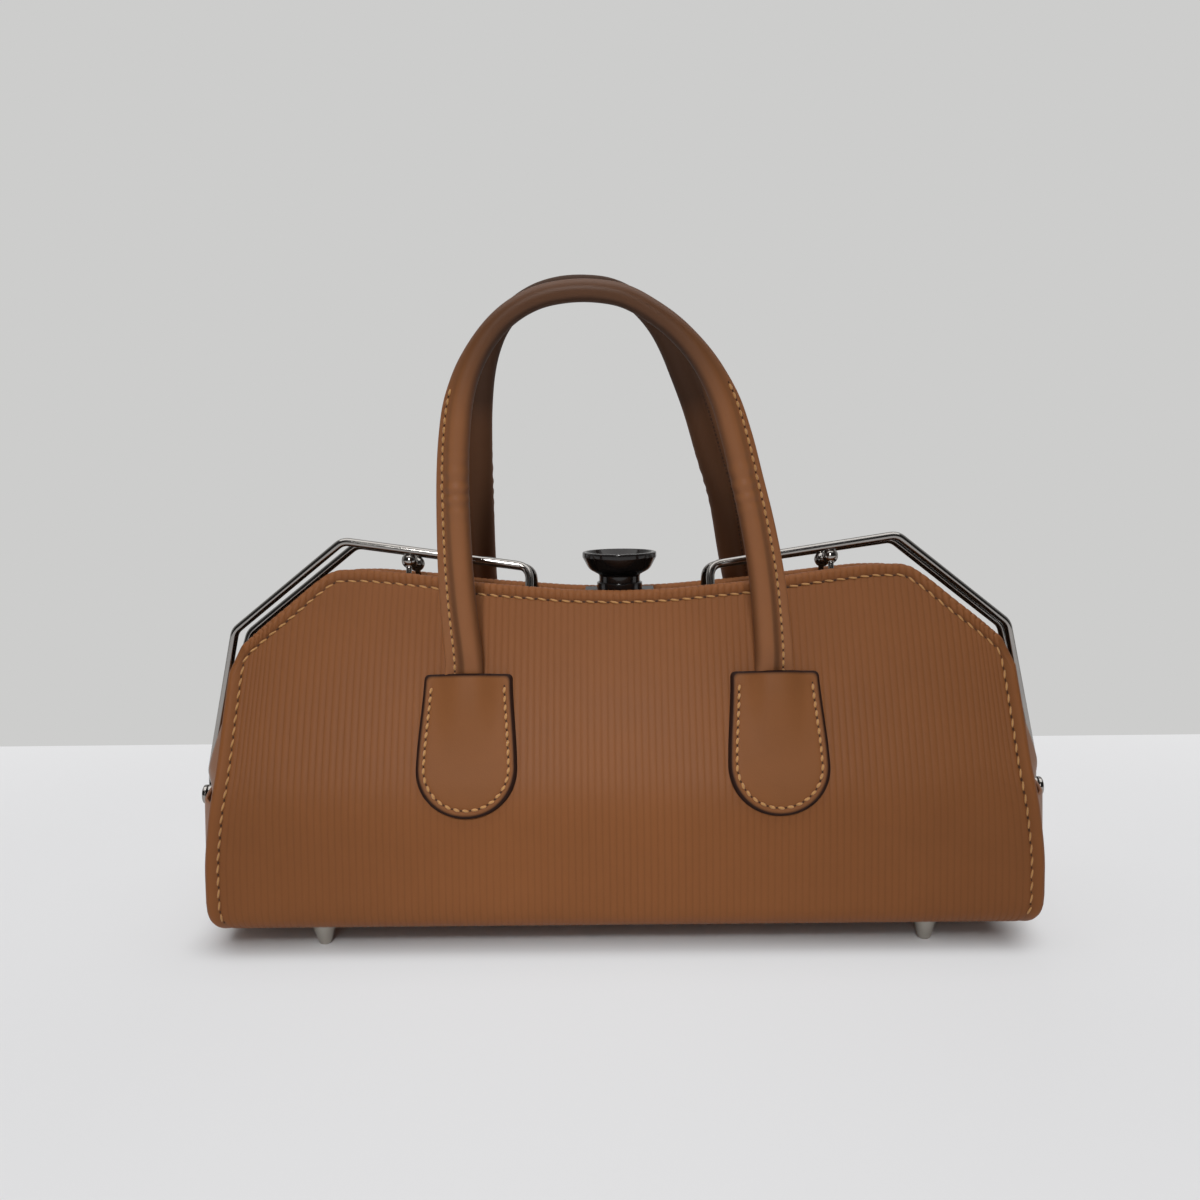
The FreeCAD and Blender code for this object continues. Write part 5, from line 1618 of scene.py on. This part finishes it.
class BAG_OT_stage(bpy.types.Operator):
    """Floor, wall, lights and camera"""

    bl_idname = "bag.stage"
    bl_label = "Stage"

    def execute(self, context):
        colours = context.scene.bag_colours
        half = STAGE_HALF
        floor = ((-half, -half, 0), (half, -half, 0), (half, half, 0), (-half, half, 0))
        stage_plane("floor", floor, colours.floor, colours.floor_seen)
        wall = ((-half, WALL_Y, 0), (half, WALL_Y, 0), (half, WALL_Y, WALL_TOP), (-half, WALL_Y, WALL_TOP))
        stage_plane("wall", wall, colours.wall, colours.wall)
        set_lights(context)
        set_camera(context)
        return {"FINISHED"}


def clear_of_bag(made):
    """0 on the floor under the bag, rising beside it to 1 far away."""
    across, along = (
        made.node("ShaderNodeSeparateXYZ", None, {"Vector": made.place()}, axis) for axis in "XY")
    beside = across.maths("MAXIMUM", across.maths("ABSOLUTE", across - BAG_MIDDLE) - BAG_HALF, 0.0)
    before = along.maths("MAXIMUM", along.maths("ABSOLUTE", along) - BAG_DEPTH, 0.0)
    away = (beside ** 2 + before ** 2) ** 0.5
    close, wide = (share * made.ramp(away, full, end) for share, full, end in SHADOWS)
    return close + wide


def stage_plane(name, corners, colour, seen):
    """A flat backdrop with slight unevenness, shaded near the bag and evenly pale from afar."""
    bm = bmesh.new()
    bm.faces.new([bm.verts.new(corner) for corner in corners])
    made = Finish(name, roughness=0.7, specular_ior_level=0.2)
    made.feed("Base Color", made.mix(made.noise(1.2, 2.0), shade(colour, 0.985), colour))
    if name == "floor":
        share = made.shown() * clear_of_bag(made)
    else:
        camera = made.node("ShaderNodeLightPath", output="Is Camera Ray")
        share = camera.maths("MAXIMUM", camera, MIRRORED_WALL * made.shown())
    made.cover(share, made.node("ShaderNodeEmission", None, {"Color": seen}))
    behind = made.node("ShaderNodeNewGeometry", output="Backfacing")
    shadow = made.node("ShaderNodeLightPath", output="Is Shadow Ray")
    made.cover(behind.maths("MAXIMUM", behind, shadow), made.node("ShaderNodeBsdfTransparent"))
    mesh = bpy.data.meshes.new(name)
    bm.to_mesh(mesh)
    bm.free()
    mesh.materials.append(made.material)
    plane = bpy.data.objects.new(name, mesh)
    bpy.context.collection.objects.link(plane)


def set_lights(context):
    """Soft light from above and behind, a narrow one and a tall one in front, in pale surroundings."""
    world = bpy.data.worlds.new("studio")
    context.scene.world = world
    world.use_nodes = True
    sky = Nodes(world.node_tree)
    back = sky.tree.nodes["Background"]
    sky.put(back.inputs["Color"], context.scene.bag_colours.wall)
    along = sky.node("ShaderNodeSeparateXYZ", None, {"Vector": sky.node("ShaderNodeTexCoord")}, "Y")
    behind = sky.node("ShaderNodeMapRange", None, {"Value": along, "From Min": -0.3, "From Max": 0.5})
    mirrored = sky.node("ShaderNodeLightPath", output="Is Glossy Ray")
    seen = sky.shown() - mirrored * (1 - behind)
    sky.put(back.inputs["Strength"], SKY_LIGHT + (1 - SKY_LIGHT) * seen)
    for name, (kind, settings, spot, aim) in LAMPS.items():
        data = bpy.data.lights.new(name, kind)
        for key, value in settings.items():
            setattr(data, key, value)
        lamp = bpy.data.objects.new(data.name, data)
        lamp.location = spot
        lamp.rotation_euler = (Vector(aim) - Vector(spot)).to_track_quat("-Z", "Y").to_euler()
        context.collection.objects.link(lamp)


def set_camera(context):
    """Camera at the photograph's place."""
    context.scene.view_settings.view_transform = "Standard"
    yaw, pitch, roll = (math.radians(angle) for angle in CAMERA_TURN)
    ahead = Vector((math.sin(yaw) * math.cos(pitch), math.cos(yaw) * math.cos(pitch), -math.sin(pitch)))
    right = Vector((math.cos(yaw), -math.sin(yaw), 0))
    above = right.cross(ahead)
    tilted = math.cos(roll) * right + math.sin(roll) * above
    above = tilted.cross(ahead)
    data = bpy.data.cameras.new("camera")
    data.sensor_width = 36
    data.lens = CAMERA_LENS
    data.clip_start = 0.01
    camera = bpy.data.objects.new("camera", data)
    turn = Matrix((tilted, above, -ahead)).transposed().to_4x4()
    turn.translation = Vector(CAMERA_PLACE) * MM
    camera.matrix_world = turn
    context.collection.objects.link(camera)
    context.scene.camera = camera


OPERATORS = (
    BAG_OT_panels, BAG_OT_gussets, BAG_OT_lining, BAG_OT_tabs, BAG_OT_handles, BAG_OT_wires,
    BAG_OT_lock, BAG_OT_studs, BAG_OT_metal, BAG_OT_stage)


class BAG_PT_pieces(bpy.types.Panel):
    """Buttons for the bag's pieces, its sizes and its colours"""

    bl_idname = "BAG_PT_pieces"
    bl_label = "Top handle bag"
    bl_space_type = "VIEW_3D"
    bl_region_type = "UI"
    bl_category = "Bag"

    def draw(self, context):
        for operator in OPERATORS:
            self.layout.operator(operator.bl_idname)
        for group in (context.scene.bag_sizes, context.scene.bag_colours):
            for name in group.__annotations__:
                self.layout.prop(group, name)


CLASSES = (BagSizes, BagColours, *OPERATORS, BAG_PT_pieces)


def register():
    for kind in CLASSES:
        bpy.utils.register_class(kind)
    bpy.types.Scene.bag_sizes = bpy.props.PointerProperty(type=BagSizes)
    bpy.types.Scene.bag_colours = bpy.props.PointerProperty(type=BagColours)


def unregister():
    del bpy.types.Scene.bag_colours
    del bpy.types.Scene.bag_sizes
    for kind in reversed(CLASSES):
        bpy.utils.unregister_class(kind)


def main():
    register()
    for operator in OPERATORS:
        group, word = operator.bl_idname.split(".")
        getattr(getattr(bpy.ops, group), word)()


if __name__ == "__main__":
    main()
